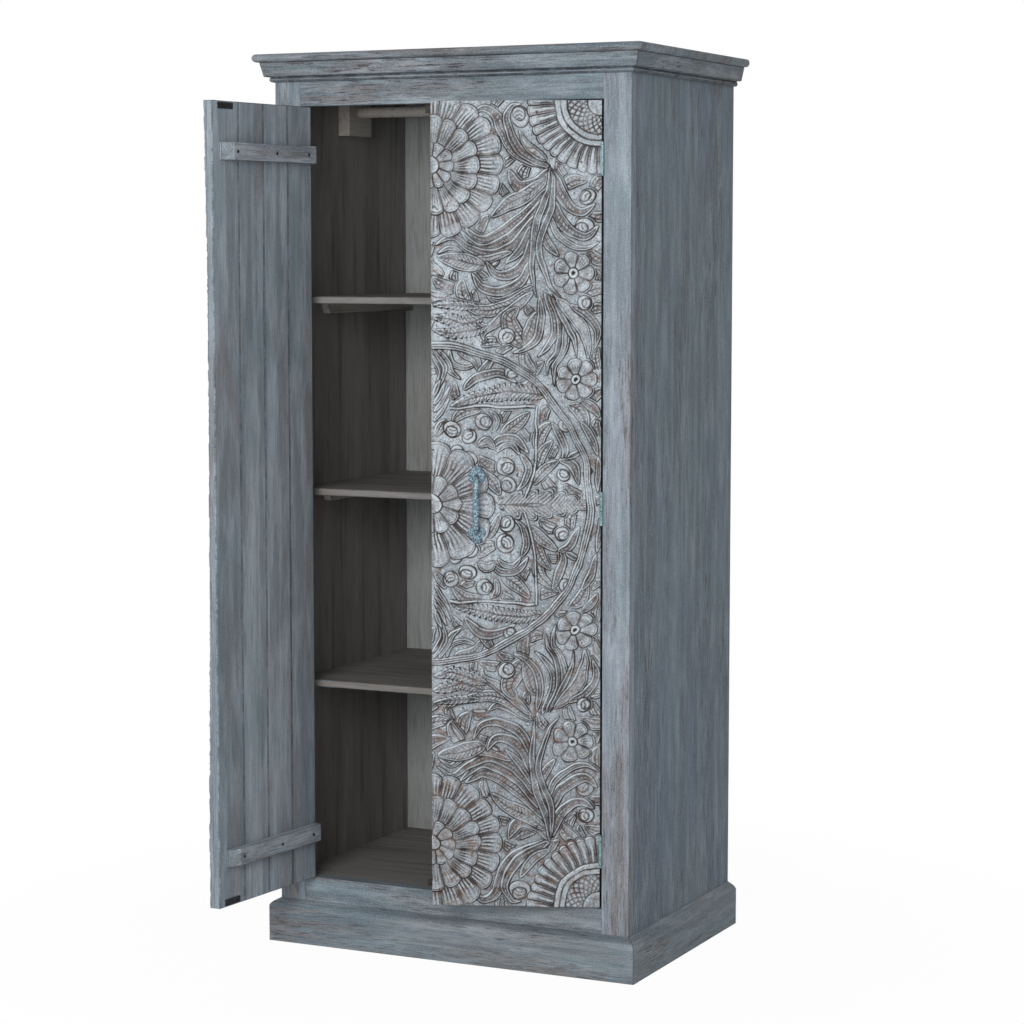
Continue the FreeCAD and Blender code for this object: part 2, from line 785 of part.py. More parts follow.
def end_motifs(door, end, flip, edge):
    """What one end of a door carries: blossom, corner fan, flowers and two sprays of leaves."""
    name = f"{door[0]}_{end}"
    place = ("0", f"{edge} - {flip} * blossom_inset")
    points = lobed("blossom_radius", BLOSSOM_LOBES, -90, 90)
    band = band_points("blossom_radius", BLOSSOM_BAND_SHARES, -90, 90)
    motifs = [motif(name + "_blossom", door, place, points, flip, band)]
    place = ("door_width", edge)
    points = [("0", "0"), *lobed("fan_radius", FAN_LOBES, 180, 270)]
    band = band_points("fan_radius", FAN_BAND_SHARES, 180, 270)
    motifs.append(motif(name + "_fan", door, place, points, flip, band))
    for rise in ("near_flower_rise", "far_flower_rise"):
        place = ("door_width - flower_hinge_inset", f"handle_height + {flip} * {rise}")
        points = lobed("flower_radius", FLOWER_LOBES, 0, 360)[:-1]
        motifs.append(motif(f"{name}_{rise}", door, place, points, flip))
    for spray, leaves in (("branch", BRANCH_LEAF_SHARES), ("stem", STEM_LEAF_SHARES)):
        root = (f"door_width - {spray}_hinge_inset", f"{edge} - {flip} * {spray}_inset")
        points = lobed("knot_radius", KNOT_LOBES, 0, 360)[:-1]
        motifs.append(motif(f"{name}_{spray}_knot", door, root, points, flip))
        for index, shares in enumerate(leaves):
            points = leaf(*shares, "leaf_reach")
            motifs.append(motif(f"{name}_{spray}_{index}", door, root, points, flip))
    for index, (root, bend, tip, breadth) in enumerate(MIDDLE_LEAF_SHARES):
        place = (f"{root[0]} * ring_radius", f"handle_height + {flip * root[1]} * ring_radius")
        points = leaf(bend, tip, breadth, "ring_radius")
        motifs.append(motif(f"{name}_middle_{index}", door, place, points, flip))
    return motifs


def middle_motifs(door):
    """The rosette behind the pull, the pointed leaf beside it and the ring round both."""
    name = door[0]
    centre = ("0", "handle_height")
    rosette = lobed("rosette_radius", ROSETTE_LOBES, -90, 90)
    band = band_points("rosette_radius", ROSETTE_BAND_SHARES, -90, 90)
    ring = arc_band("ring_inner_radius", "ring_radius", RING_STEPS, -90, 90)
    root, bend, tip, breadth = POINTED_LEAF_SHARES
    place = (f"{root[0]} * ring_radius", "handle_height")
    return [
        motif(name + "_rosette", door, centre, rosette, 1, band),
        motif(name + "_ring", door, centre, ring),
        motif(name + "_pointed_leaf", door, place, leaf(bend, tip, breadth, "ring_radius")),
    ]


def make_carved_panel(side):
    name = side + "_panel"
    size = ("door_width", "panel_thickness", "door_height")
    limits = door_box(name + "_limits", side, "door_edge", "panel_front", "door_bottom", size)
    size = ("door_width", "panel_thickness - carving_depth", "door_height")
    ground = door_box(name + "_ground", side, "door_edge", "carved_ground", "door_bottom", size)
    door = (side, limits)
    motifs = middle_motifs(door)
    motifs += end_motifs(door, "top", 1, "door_top")
    motifs += end_motifs(door, "bottom", -1, "door_bottom")
    keep(fuse(name, [ground, *motifs]), side + "_door_carved_panel")


def make_battens(side):
    near = "door_edge + batten_hinge_inset"
    far = "door_free_edge - batten_free_inset"
    points = (
        (near, "door_back"),
        (far, "door_back"),
        (far, "door_back + batten_end_thickness"),
        (f"{far} - batten_bevel_length", "door_back + batten_thickness"),
        (near, "door_back + batten_thickness"),
    )
    levels = {
        "bottom": "door_bottom + batten_inset",
        "top": "door_top - batten_inset - batten_height",
    }
    for end, low in levels.items():
        name = f"{side}_door_batten_{end}"
        keep(door_padded(name, side, points, low, "batten_height"), name)


def make_strikes(side):
    size = ("strike_width", "strike_thickness", "strike_height")
    levels = {
        "bottom": "door_bottom + strike_edge_inset",
        "top": "door_top - strike_edge_inset - strike_height",
    }
    plates = [
        door_box(f"{side}_strike_{end}", side, "strike_near", "door_back", low, size)
        for end, low in levels.items()
    ]
    keep(group(side + "_strikes", plates), side + "_door_strike_plates")


def grip_side(edge):
    """One edge of the bar seen from the side: distance out and height at each section."""
    points = []
    for height, out, tilt, width, thickness in GRIP_SHARES:
        turn = math.radians(90 * tilt)
        back = edge * thickness * math.cos(turn) / 2
        up = edge * thickness * math.sin(turn) / 2
        y = f"grip_root - {out} * grip_out + {back:.4f} * grip_thickness"
        points.append((y, f"{height} * handle_span / 2 + {up:.4f} * grip_thickness"))
    return points


def grip_front(edge):
    """One edge of the bar seen from the front, run past both of its ends."""
    points = []
    for height, out, tilt, width, thickness in GRIP_SHARES:
        z = f"{height} * handle_span / 2 - {tilt} * grip_thickness"
        points.append((f"{edge * width / 2} * grip_width", z))
    return points


def make_grip(name, frame):
    """The arched bar: what its side view and its front view have in common."""
    start = f"{frame} * {frame_at('-grip_width', '0', '0')}"
    side_points = [*grip_side(1), *reversed(grip_side(-1))]
    side_view = padded(name + "_side", start, "YZ_Plane", side_points, "2 * grip_width")
    front_points = [*grip_front(1), *reversed(grip_front(-1))]
    start = f"{frame} * {frame_at('0', 'panel_front', '0')}"
    length = "handle_standoff + overrun"
    front_view = padded(name + "_front", start, "XZ_Plane", front_points, length)
    bar = doc.addObject("Part::Common", name)
    bar.Base = side_view
    bar.Tool = front_view
    return bar


def foot_points(flip):
    """A trefoil plate: three round lobes, one of them pointing away from the grip."""
    points = []
    for step in range(3 * 2 * LOBE_STEPS):
        turn = math.pi * step / (3 * LOBE_STEPS)
        reach = FOOT_SHARE + (1 - FOOT_SHARE) * abs(math.cos(1.5 * turn)) ** 0.7
        across = f"{reach * math.sin(turn):.4f} * foot_reach"
        points.append((across, f"{flip * reach * math.cos(turn):.4f} * foot_reach"))
    return points


def make_handle(side):
    """A pull whose arched bar swells in the middle and springs from two trefoil feet."""
    x = f"{SIGNS[side]}(door_free_edge - handle_free_inset)"
    frame = f"{DOOR_FRAMES[side]} * {frame_at(x, '0', 'handle_height')}"
    name = side + "_handle"
    solids = [make_grip(name + "_grip", frame)]
    for end, flip in (("upper", 1), ("lower", -1)):
        place = f"{frame} * {frame_at('0', 'panel_front', f'{flip} * handle_span / 2')}"
        foot = f"{name}_{end}_foot"
        solids.append(padded(foot, place, "XZ_Plane", foot_points(flip), "foot_thickness"))
    keep(fuse(name, solids), side + "_door_handle")


def make_door(side):
    make_planks(side)
    make_carved_panel(side)
    make_battens(side)
    make_strikes(side)
    make_handle(side)


def check_and_write():
    """Stop on any failed object or bad shape, then write one file per piece."""
    for item in doc.Objects:
        if "Invalid" in item.State or "Error" in item.State:
            raise RuntimeError(f"{item.Label} failed: {item.State}")
    for piece in parts:
        if piece.Shape.isNull() or not piece.Shape.isValid() or not piece.Shape.Solids:
            raise RuntimeError(f"{piece.Label} has no valid solid")
    os.makedirs("parts", exist_ok=True)
    for piece in parts:
        piece.Shape.exportStep(f"parts/{piece.Label}.step")
    print(f"{len(parts)} parts written")


make_carcass()
make_back()
make_face_frame()
make_corner_blocks()
make_plinth()
make_cornice()
make_top()
make_shelves()
make_hanging_rail()
make_catches()
make_hinges()
for door_side in ("left", "right"):
    make_door(door_side)
doc.recompute()
check_and_write()
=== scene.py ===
"""The looks of a painted wardrobe with two carved doors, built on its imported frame.

Metres: X to the right, Y to the back, Z up, the floor at zero. Each door is drawn in a
frame of its own at the hinge, with x along the door, y from front to back and z up.
"""

import json
import math

import bmesh
import bpy
import numpy as np
from mathutils import Color, Matrix, Vector


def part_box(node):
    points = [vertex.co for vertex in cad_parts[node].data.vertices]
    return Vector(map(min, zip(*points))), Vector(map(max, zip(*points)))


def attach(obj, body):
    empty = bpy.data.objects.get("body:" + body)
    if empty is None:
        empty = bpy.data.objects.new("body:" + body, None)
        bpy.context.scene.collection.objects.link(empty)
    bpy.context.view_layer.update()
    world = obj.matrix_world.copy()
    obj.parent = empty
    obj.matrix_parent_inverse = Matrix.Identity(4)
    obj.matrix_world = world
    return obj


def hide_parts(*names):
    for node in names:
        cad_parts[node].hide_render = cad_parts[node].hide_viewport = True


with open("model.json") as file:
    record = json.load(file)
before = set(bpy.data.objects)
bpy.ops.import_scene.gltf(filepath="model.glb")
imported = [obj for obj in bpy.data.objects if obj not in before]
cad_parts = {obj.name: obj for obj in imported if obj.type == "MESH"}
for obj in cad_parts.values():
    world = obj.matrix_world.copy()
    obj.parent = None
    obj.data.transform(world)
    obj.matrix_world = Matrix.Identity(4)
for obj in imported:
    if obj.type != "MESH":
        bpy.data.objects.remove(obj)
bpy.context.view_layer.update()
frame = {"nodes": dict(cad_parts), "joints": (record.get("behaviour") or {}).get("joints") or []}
nodes = frame["nodes"]

SIDES = ("left", "right")
OUTWARD = {"left": 1, "right": -1}
TWO_PI = 2 * math.pi


# Places read from the frame

def door_matrix(side):
    """The place of a door's hinge frame at rest."""
    joint = next(j for j in frame["joints"] if j["child"] == side + "_door")
    turn = -math.radians(joint["range_deg"][0]) * joint["axis"][2]
    across, back, _ = joint["pos_m"]
    return Matrix.Translation((across, back, 0)) @ Matrix.Rotation(turn, 4, "Z")


def local_box(node, matrix):
    """The lowest and highest corner of a node in the frame that the matrix places."""
    inverse = matrix.inverted()
    points = np.array([inverse @ v.co for v in nodes[node].data.vertices])
    return Vector(points.min(0)), Vector(points.max(0))


def add_object(name, data):
    """A new object in the scene."""
    made = bpy.data.objects.new(name, data)
    bpy.context.scene.collection.objects.link(made)
    return made


DOOR = {side: door_matrix(side) for side in SIDES}
DOOR_TURN = {side: DOOR[side].to_euler().z for side in SIDES}


# Materials from nodes

NOISE_LOOK = ("Scale", "Detail", "Roughness", "Distortion")
NOISE_LOW = 0.3
NOISE_HIGH = 0.7
SCREEN_WHITE = 255


class Shader:
    """A material, or the world, whose nodes are added one by one."""

    def __init__(self, name, world=None):
        self.material = world or bpy.data.materials.new(name)
        self.material.use_nodes = True
        self.tree = self.material.node_tree
        self.surface = self.tree.nodes["Background" if world else "Principled BSDF"]

    def put(self, socket, value):
        """Links a socket to another node, or gives it a plain value."""
        if isinstance(value, bpy.types.NodeSocket):
            self.tree.links.new(value, socket)
        else:
            socket.default_value = value

    def node(self, kind, inputs, output=0, **settings):
        """Adds a node and gives back one of its outputs."""
        made = self.tree.nodes.new("ShaderNode" + kind)
        for key, value in settings.items():
            setattr(made, key, value)
        for socket, value in inputs.items():
            self.put(made.inputs[socket], value)
        return made.outputs[output]

    def mix(self, factor, first, second, blend="MIX"):
        """One colour laid over another."""
        inputs = {0: factor, 6: first, 7: second}
        return self.node("Mix", inputs, 2, data_type="RGBA", blend_type=blend)

    def math(self, operation, first, second=0.0):
        """A sum on two numbers, kept between 0 and 1."""
        return self.node("Math", {0: first, 1: second}, operation=operation, use_clamp=True)

    def step(self, value, low, high, least=0.0, most=1.0):
        """A smooth change from least to most as the value goes from low to high."""
        inputs = {0: value, 1: low, 2: high, 3: least, 4: most}
        return self.node("MapRange", inputs, interpolation_type="SMOOTHSTEP")

    def place(self, turn=0.0):
        """The object's own coordinates, turned back about Z."""
        vector = self.node("TexCoord", {}, "Object")
        return self.node("Mapping", {"Vector": vector, "Rotation": (0.0, 0.0, -turn)})

    def bump(self, height, strength, distance):
        """A bumpy normal from a height."""
        return self.node("Bump", {"Height": height, "Strength": strength, "Distance": distance})

    def spread(self, noise, least=0.0, most=1.0):
        """A value from least to most over the span that a noise usually has."""
        return self.step(noise, NOISE_LOW, NOISE_HIGH, least, most)

    def noises(self, place, rows, axis=0):
        """Noises by name. A row gives the share that draws one out along the axis, and its look."""
        made = {}
        for name, (share, *look) in rows.items():
            scale = [1.0, 1.0, 1.0]
            scale[axis] = share
            inputs = dict(zip(NOISE_LOOK, look))
            inputs["Vector"] = self.node("Mapping", {"Vector": place, "Scale": scale})
            made[name] = self.node("TexNoise", inputs)
        return made

    def coats(self, tone, drivers, rows):
        """Lays colours over a tone. A row gives a colour, how strong it gets, and for each driver
        by name the value at which the coat starts and the one at which it is full."""
        for coat, cover, *windows in rows:
            for name, start, full in windows:
                cover = self.math("MULTIPLY", self.step(drivers[name], start, full), cover)
            tone = self.mix(cover, tone, coat)
        return tone

    def finish(self, colour, roughness, normal=None, metallic=0.0, specular=0.25):
        """Sets the surface and gives back the material."""
        self.put(self.surface.inputs["Base Color"], colour)
        self.put(self.surface.inputs["Roughness"], roughness)
        if normal is not None:
            self.put(self.surface.inputs["Normal"], normal)
        self.put(self.surface.inputs["Metallic"], metallic)
        self.surface.inputs["Specular IOR Level"].default_value = specular
        return self.material


def colour(red, green, blue):
    """A colour given as it is seen on a screen, from 0 to 255, made linear."""
    seen = Color((red, green, blue)) / SCREEN_WHITE
    return (*seen.from_srgb_to_scene_linear(), 1.0)


PAINT = colour(136, 147, 156)
GREY_PAINT = colour(130, 136, 138)
LIGHT_PAINT = colour(152, 160, 168)
TEAL_PAINT = colour(123, 138, 145)
PALE_PAINT = colour(174, 184, 193)
SIDE_PAINT = colour(113, 127, 141)
STILE_PAINT = colour(150, 156, 167)
DEEP_PAINT = colour(96, 105, 113)
SIDE_DEEP_PAINT = colour(76, 86, 96)
BARE_WOOD = colour(108, 97, 93)
DARK_WOOD = colour(52, 49, 50)
RUST_EDGE = colour(94, 86, 82)
# Colours inside the carcass: browner wood, made darker as painted shade
INSIDE_PAINT_AND_SHADE = colour(130, 128, 126)
INSIDE_WOOD_AND_SHADE = colour(98, 90, 84)
BACK_PAINT = colour(148, 152, 152)
BACK_WOOD = colour(124, 121, 115)
PINE = colour(172, 168, 162)
DULL_PINE = colour(142, 134, 128)
SEAM_DARK = colour(62, 66, 70)
GRAIN_AXES = {"x": 0, "y": 1, "z": 2}
GRAIN_DEPTH = 0.0006
GRAIN_BUMP = 0.35
SKIN = 0.0005
PAINT_NOISES = {
    "streak": (0.045, 60.0, 3.0, 0.55),
    "fibre": (0.045, 420.0, 3.0, 0.6),
    "cloud": (0.2, 6.0, 6.0, 0.62, 0.4),
    "smear": (0.2, 32.0, 4.0, 0.6, 0.3),
    "dirt": (0.1, 14.0, 6.0, 0.66, 0.2),
    "dashes": (0.07, 300.0, 5.0, 0.7),
    "grit": (1.0, 360.0, 3.0, 0.8),
}


def indoors(shader):
    """One inside the wardrobe, between its boards, and zero outside."""
    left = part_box("left_side_panel")[1]
    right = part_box("right_side_panel")[0]
    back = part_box("back_board_1")[0]
    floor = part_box("bottom_panel")[1]
    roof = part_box("top_board")[0]
    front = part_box("left_stile")[1]
    middle = Vector((left.x + right.x, front.y + back.y, floor.z + roof.z)) / 2
    half = Vector((right.x - left.x, back.y - front.y, roof.z - floor.z)) / 2
    vector = shader.node("TexCoord", {}, "Object")
    inside = 1.0
    for axis in range(3):
        part = shader.node("SeparateXYZ", {0: vector}, axis)
        limits = {0: part, 1: middle[axis], 2: half[axis] + SKIN}
        near = shader.node("Math", limits, operation="COMPARE")
        inside = shader.math("MULTIPLY", near, inside)
    return inside


def painted_wood(name, grain, turn=0.0, pale=0.4, worn=0.5, dash=0.3, paint=PAINT, deep=DEEP_PAINT,
                 inside=None):
    """Thin grey-blue paint brushed along the grain, worn through to brown wood."""
    shader = Shader(name)
    noises = shader.noises(shader.place(turn), PAINT_NOISES, GRAIN_AXES[grain])
    tone = shader.coats(TEAL_PAINT, noises, (
        (paint, 1.0, ("cloud", 0.4, 0.6)),
        (deep, 0.6, ("streak", 0.62, 0.38)),
        (BARE_WOOD, worn, ("dirt", 0.47, 0.62), ("streak", 0.36, 0.56)),
        (PALE_PAINT, pale, ("smear", 0.44, 0.7)),
        (deep, 0.45, ("fibre", 0.5, 0.64)),
        (DARK_WOOD, dash, ("dashes", 0.5, 0.62), ("dirt", 0.4, 0.58)),
        (deep, 0.45, ("grit", 0.53, 0.64)),
        (PALE_PAINT, 0.3, ("grit", 0.47, 0.36)),
    ))
    # Inside the wardrobe another tone takes over; for the carcass boards it is browner wood, darker as
    # painted shade
    if inside:
        bare = shader.step(noises["cloud"], 0.42, 0.62, least=0.1, most=0.6)
        dim = shader.coats(shader.mix(bare, *inside), noises, (
            (DARK_WOOD, 0.25, ("fibre", 0.48, 0.64)),
            (DARK_WOOD, 0.35, ("streak", 0.54, 0.7)),
        ))
        tone = shader.mix(indoors(shader), tone, dim)
    rough = shader.spread(noises["streak"], least=0.6, most=0.82)
    return shader.finish(tone, rough, shader.bump(noises["fibre"], GRAIN_BUMP, GRAIN_DEPTH))


EDGE_NOISES = {"patch": (1.0, 24.0, 6.0, 0.7), "fine": (1.0, 190.0, 4.0, 0.6)}
EDGE_BUMP = 0.3


def worn_edge(name, first, second):
    """Wood that shows where the paint is rubbed off along an edge."""
    shader = Shader(name)
    noises = shader.noises(shader.place(), EDGE_NOISES)
    tone = shader.coats(first, noises, (
        (second, 1.0, ("patch", 0.42, 0.58)),
        (DARK_WOOD, 0.5, ("fine", 0.5, 0.62)),
    ))
    rough = shader.spread(noises["fine"], least=0.6, most=0.8)
    return shader.finish(tone, rough, shader.bump(noises["fine"], EDGE_BUMP, GRAIN_DEPTH))


WASH = colour(186, 195, 202)
# Wash on the ridges, and the painted highlight on ridges and on slopes that face up
WASH_AND_HIGHLIGHT = colour(220, 230, 236)
CARVED_PAINT = colour(124, 131, 136)
SUNK_WOOD = colour(115, 97, 91)
RUST_WOOD = colour(104, 83, 73)
# Dirt and bare wood in the cut lines with painted shade, also the painted shade on slopes that face down
CUT_DIRT_AND_SHADE = colour(42, 35, 33)
CARVED_NOISES = {
    "cloud": (1.0, 11.0, 5.0, 0.62),
    "speck": (1.0, 300.0, 4.0, 0.75),
    "spot": (1.0, 170.0, 4.0, 0.7, 0.4),
    "scuff": (0.4, 95.0, 6.0, 0.72, 0.5),
    "patch": (1.0, 34.0, 6.0, 0.72, 0.8),
}
CARVED_BUMP = 0.4
CREST_WASH_AND_HIGHLIGHT = 0.4
# Heights between which the painted shade and the rust grow towards the bottom
UPPER_LEVEL = 1.1
LOWER_LEVEL = 0.3
LOW_RUST = 0.05


def carved_wood(name):
    """Whitewashed carving: wash and a painted highlight on ridges, a painted highlight on what faces up,
    painted shade on what faces down, cut lines dark with dirt and painted shade, painted shade towards the
    bottom, and rusty wood, more so low down.
    """
    shader = Shader(name)
    place = shader.place()
    drivers = shader.noises(place, CARVED_NOISES, GRAIN_AXES["z"])
    for mark in ("cut", "tilt", "sunk", "crest"):
        drivers[mark] = shader.node("Attribute", {}, "Fac", attribute_name=mark)
    drivers["level"] = shader.node("SeparateXYZ", {0: place}, GRAIN_AXES["z"])
    low = shader.step(drivers["level"], UPPER_LEVEL, LOWER_LEVEL)
    drivers["rust"] = shader.math("ADD", drivers["patch"], shader.math("MULTIPLY", low, LOW_RUST))
    rubbed = shader.step(drivers["spot"], 0.4, 0.6, least=0.3, most=1.2)
    tone = shader.coats(CARVED_PAINT, drivers, (
        (WASH, 1.0, ("cloud", 0.36, 0.64)),
        (CARVED_PAINT, 0.7, ("scuff", 0.44, 0.6)),
        # Painted shade: the carving darker towards the bottom
        (CARVED_PAINT, 0.65, ("level", UPPER_LEVEL, LOWER_LEVEL)),
        (DEEP_PAINT, 0.7, ("speck", 0.51, 0.6)),
        (TEAL_PAINT, 0.4, ("spot", 0.44, 0.36)),
        (WASH, 0.7, ("speck", 0.46, 0.38)),
        (SUNK_WOOD, shader.math("MULTIPLY", drivers["sunk"], rubbed)),
        (RUST_WOOD, 0.8, ("rust", 0.53, 0.66)),
        # Wash caught on the ridges, with a painted highlight there
        (WASH_AND_HIGHLIGHT, shader.math("MULTIPLY", drivers["crest"], CREST_WASH_AND_HIGHLIGHT)),
        # Painted shade on the slopes that face down
        (CUT_DIRT_AND_SHADE, 0.6, ("tilt", -0.2, -1.0)),
        # Dirt and bare wood in the cut lines, with painted shade in the grooves
        (CUT_DIRT_AND_SHADE, 1.0, ("cut", 0.1, 0.75)),
        # Painted highlight on the slopes that face up
        (WASH_AND_HIGHLIGHT, 0.78, ("tilt", 0.25, 1.1)),
    ))
    rough = shader.spread(drivers["speck"], least=0.6, most=0.85)
    return shader.finish(tone, rough, shader.bump(drivers["speck"], CARVED_BUMP, GRAIN_DEPTH))


PITS_PER_BLOOM = 2.2
METAL_BUMP = 0.5
METAL_DEPTH = 0.0012
METAL_SHINE = 0.4


def patina_metal(name, first, second, third, metallic, smooth, rough, scale):
    """Aged metal with two colours of bloom, and pits in a third."""
    shader = Shader(name)
    noises = shader.noises(shader.place(), {
        "bloom": (1.0, scale, 6.0, 0.7),
        "pits": (1.0, PITS_PER_BLOOM * scale, 4.0, 0.6),
    })
    tone = shader.coats(first, noises, (
        (second, 1.0, ("bloom", 0.42, 0.6)),
        (third, 1.0, ("pits", 0.5, 0.6)),
    ))
    bumpy = shader.bump(noises["bloom"], METAL_BUMP, METAL_DEPTH)
    return shader.finish(tone, shader.spread(noises["bloom"], smooth, rough), bumpy, metallic, METAL_SHINE)


PLASTIC_NOISES = {"fine": (1.0, 900.0, 3.0, 0.5)}
PLASTIC_BUMP = 0.2


def moulded_plastic(name, first, second):
    """Moulded plastic with a fine grain."""
    shader = Shader(name)
    noises = shader.noises(shader.place(), PLASTIC_NOISES)
    tone = shader.coats(first, noises, ((second, 1.0, ("fine", 0.35, 0.65)),))
    rough = shader.spread(noises["fine"], least=0.45, most=0.6)
    return shader.finish(tone, rough, shader.bump(noises["fine"], PLASTIC_BUMP, GRAIN_DEPTH))


HANDLE_METAL = patina_metal(
    "handle_metal", colour(84, 104, 120), colour(146, 170, 180), colour(34, 40, 50),
    metallic=0.3, smooth=0.45, rough=0.7, scale=150.0)
HINGE_METAL = patina_metal(
    "hinge_metal", colour(136, 168, 172), colour(108, 140, 146), colour(64, 78, 82),
    metallic=0.4, smooth=0.35, rough=0.6, scale=210.0)
STRIKE_STEEL = patina_metal(
    "strike_steel", colour(34, 35, 37), colour(62, 64, 67), colour(24, 23, 22),
    metallic=0.5, smooth=0.35, rough=0.6, scale=160.0)
CATCH_PLASTIC = moulded_plastic("catch_plastic", colour(58, 50, 44), colour(72, 63, 55))
CARVED_WOOD = carved_wood("carved_wood")
WORN_EDGE = worn_edge("worn_edge", DEEP_PAINT, RUST_EDGE)
SEAM_EDGE = worn_edge("seam_edge", SEAM_DARK, DEEP_PAINT)
RIM_EDGE = worn_edge("rim_edge", DEEP_PAINT, PAINT)


# Finishes of the boards that come from the frame

# The carcass boards' inside: browner wood, and darker as painted shade
INSIDE = (INSIDE_PAINT_AND_SHADE, INSIDE_WOOD_AND_SHADE)
GREY = {"paint": GREY_PAINT, "deep": SIDE_DEEP_PAINT, "inside": INSIDE}
WOOD = {
    axis: painted_wood("painted_wood_" + axis, axis, pale=0.28, worn=0.9, dash=0.8, **GREY)
    for axis in GRAIN_AXES
}
CROWN_WOOD = {
    axis: painted_wood("painted_wood_crown_" + axis, axis, pale=0.42, worn=0.8, dash=1.0, **GREY)
    for axis in ("x", "y")
}
STILE_WOOD = painted_wood("painted_wood_stiles", "z", worn=0.8, dash=0.7, paint=STILE_PAINT, inside=INSIDE)
SIDE_WOOD = painted_wood("painted_wood_sides", "z", pale=0.3, worn=0.2, dash=0.8, paint=SIDE_PAINT,
                         deep=SIDE_DEEP_PAINT, inside=INSIDE)
BACK_BOARD_WOOD = painted_wood("painted_wood_back", "z", inside=(BACK_PAINT, BACK_WOOD))
PLAIN_WOOD = painted_wood("painted_wood_plain", "y", inside=(PINE, DULL_PINE))
PLANK_WOOD = {
    side: painted_wood(f"painted_wood_{side}_planks", "z", DOOR_TURN[side], worn=0.6, dash=0.25,
                       paint=LIGHT_PAINT)
    for side in SIDES
}
BATTEN_WOOD = {
    side: painted_wood(f"painted_wood_{side}_battens", "x", DOOR_TURN[side], pale=0.7, worn=0.6, dash=0.5,
                       paint=LIGHT_PAINT)
    for side in SIDES
}
FINISHES = {
    "left_door_batten": BATTEN_WOOD["left"],
    "right_door_batten": BATTEN_WOOD["right"],
    "left_door_plank": PLANK_WOOD["left"],
    "right_door_plank": PLANK_WOOD["right"],
    "hinge": HINGE_METAL,
    "strike": STRIKE_STEEL,
    "magnets": STRIKE_STEEL,
    "housings": CATCH_PLASTIC,
    "handle": HANDLE_METAL,
    "carved_panel": CARVED_WOOD,
    "stile": STILE_WOOD,
    "side_panel": SIDE_WOOD,
    "back_board": BACK_BOARD_WOOD,
    "cleats": PLAIN_WOOD,
    "rail_bracket": PLAIN_WOOD,
    "hanging_rail": PLAIN_WOOD,
    "frieze": CROWN_WOOD["x"],
    "cornice_front": CROWN_WOOD["x"],
    "cornice": CROWN_WOOD["y"],
    "plinth_left": WOOD["y"],
    "plinth_right": WOOD["y"],
    "corner_blocks": WOOD["z"],
}
UNROUNDED = (HINGE_METAL, STRIKE_STEEL, CATCH_PLASTIC, HANDLE_METAL, CARVED_WOOD)
EDGE_ROUND = 0.0016
FLUSH_EDGE_ROUND = 0.0006
FLUSH = ("frieze_rail", "bottom_rail", "left_stile", "right_stile")
EDGE_STEPS = 2
EDGE_ANGLE = math.radians(40)
WELD_REACH = 0.00001


def finish_of(name):
    """The material of a node, by the first of the words above that its name holds."""
    return next((finish for word, finish in FINISHES.items() if word in name), WOOD["x"])


def edge_of(name):
    """The finish of a board's rounded edges, by what it is."""
    if any(word in name for word in ("plank_4", "frieze", "stile")):
        return RIM_EDGE
    if any(word in name for word in ("plank", "back", "cornice")):
        return SEAM_EDGE
    return WORN_EDGE


def round_edges(board):
    """Rounds a board's sharp edges a little and gives them the worn finish."""
    weld = board.modifiers.new("joined_corners", "WELD")
    weld.merge_threshold = WELD_REACH
    bevel = board.modifiers.new("rubbed_edges", "BEVEL")
    bevel.width = FLUSH_EDGE_ROUND if board.name in FLUSH else EDGE_ROUND
    bevel.segments = EDGE_STEPS
    bevel.limit_method = "ANGLE"
    bevel.angle_limit = EDGE_ANGLE
    board.data.materials.append(edge_of(board.name))
    bevel.material = 1


for name, board in nodes.items():
    finish = finish_of(name)
    board.data.materials.clear()
    board.data.materials.append(finish)
    if finish not in UNROUNDED:
        round_edges(board)


# The drawing of the carving: places are shares of the door's breadth,
# counted from the free edge, and from the door's end or from its middle

GRID_STEP = 0.0015
CARVE_SEED = 7
HAND_WANDER_SHARES = ((34, 0.011), (13, 0.0035))
SPINE_STEPS = 60
CUT_SHARE = 0.005
RIM_SHARE = 0.0125
HATCH_SHARE = 0.024
HATCH_LEAN_SHARE = 0.5
NEAR_SHARE = 0.06
ECHO_SHARE = 0.013
STIPPLE_SHARE = 0.022
GROUND_LEVEL = 0.45
LEAF_LEVEL = 0.62
HATCHED_LEVEL = 0.4
LEAF_FULLNESS = 0.8
LEAF_BLUNTNESS = 0.55
LEAF_WIDENING = 1.2
PETAL_LEVEL = 0.6
PETAL_DIP_SHARE = 0.2
PETAL_ROUNDNESS = 2.5
PETAL_RIBS = 5
RIB_WIDENING = 0.8
RIB_FADE = 1.6
RIB_ROOM = 2.6
CURL_OFFSET_SHARE = 0.3
CURL_INNER_SHARE = 0.66
CURL_LINE_SHARE = 0.022
CURL_FALL_SHARE = 0.35
DISC_LEVEL = 0.9
NET_LEVEL = 0.75
NET_RINGS = 5
NET_SPOKES = 28
NET_CELL_SHARE = 0.028
FILL_LEAVES = 120
FILL_LEAST_SHARE = 0.036
FILL_LENGTH = 1.3
FILL_BREADTH = 1.1
FILL_BEND = 0.25
# How deep the inner lines of the motifs are cut, as shares of an outline's depth
LINE_SHARES = {
    "rim": 0.76, "bar": 0.62, "inner": 0.74, "vein": 0.68, "midrib": 0.8, "strand": 0.7, "boss": 0.85,
    "curl": 0.6, "rib": 0.78, "petal": 0.55, "net": 0.75, "ridge": 0.8, "echo": 0.2, "nick": 0.6,
}
# Notched leaves: depth as a share of the half breadth, spacing in hatch lines, and lean
NOTCH_SHARES = {"ferny": (0.3, 1.2, 1), "feather": (0.35, 3.7, -1)}
VEINED_KINDS = ("veined", "ferny", "feather")

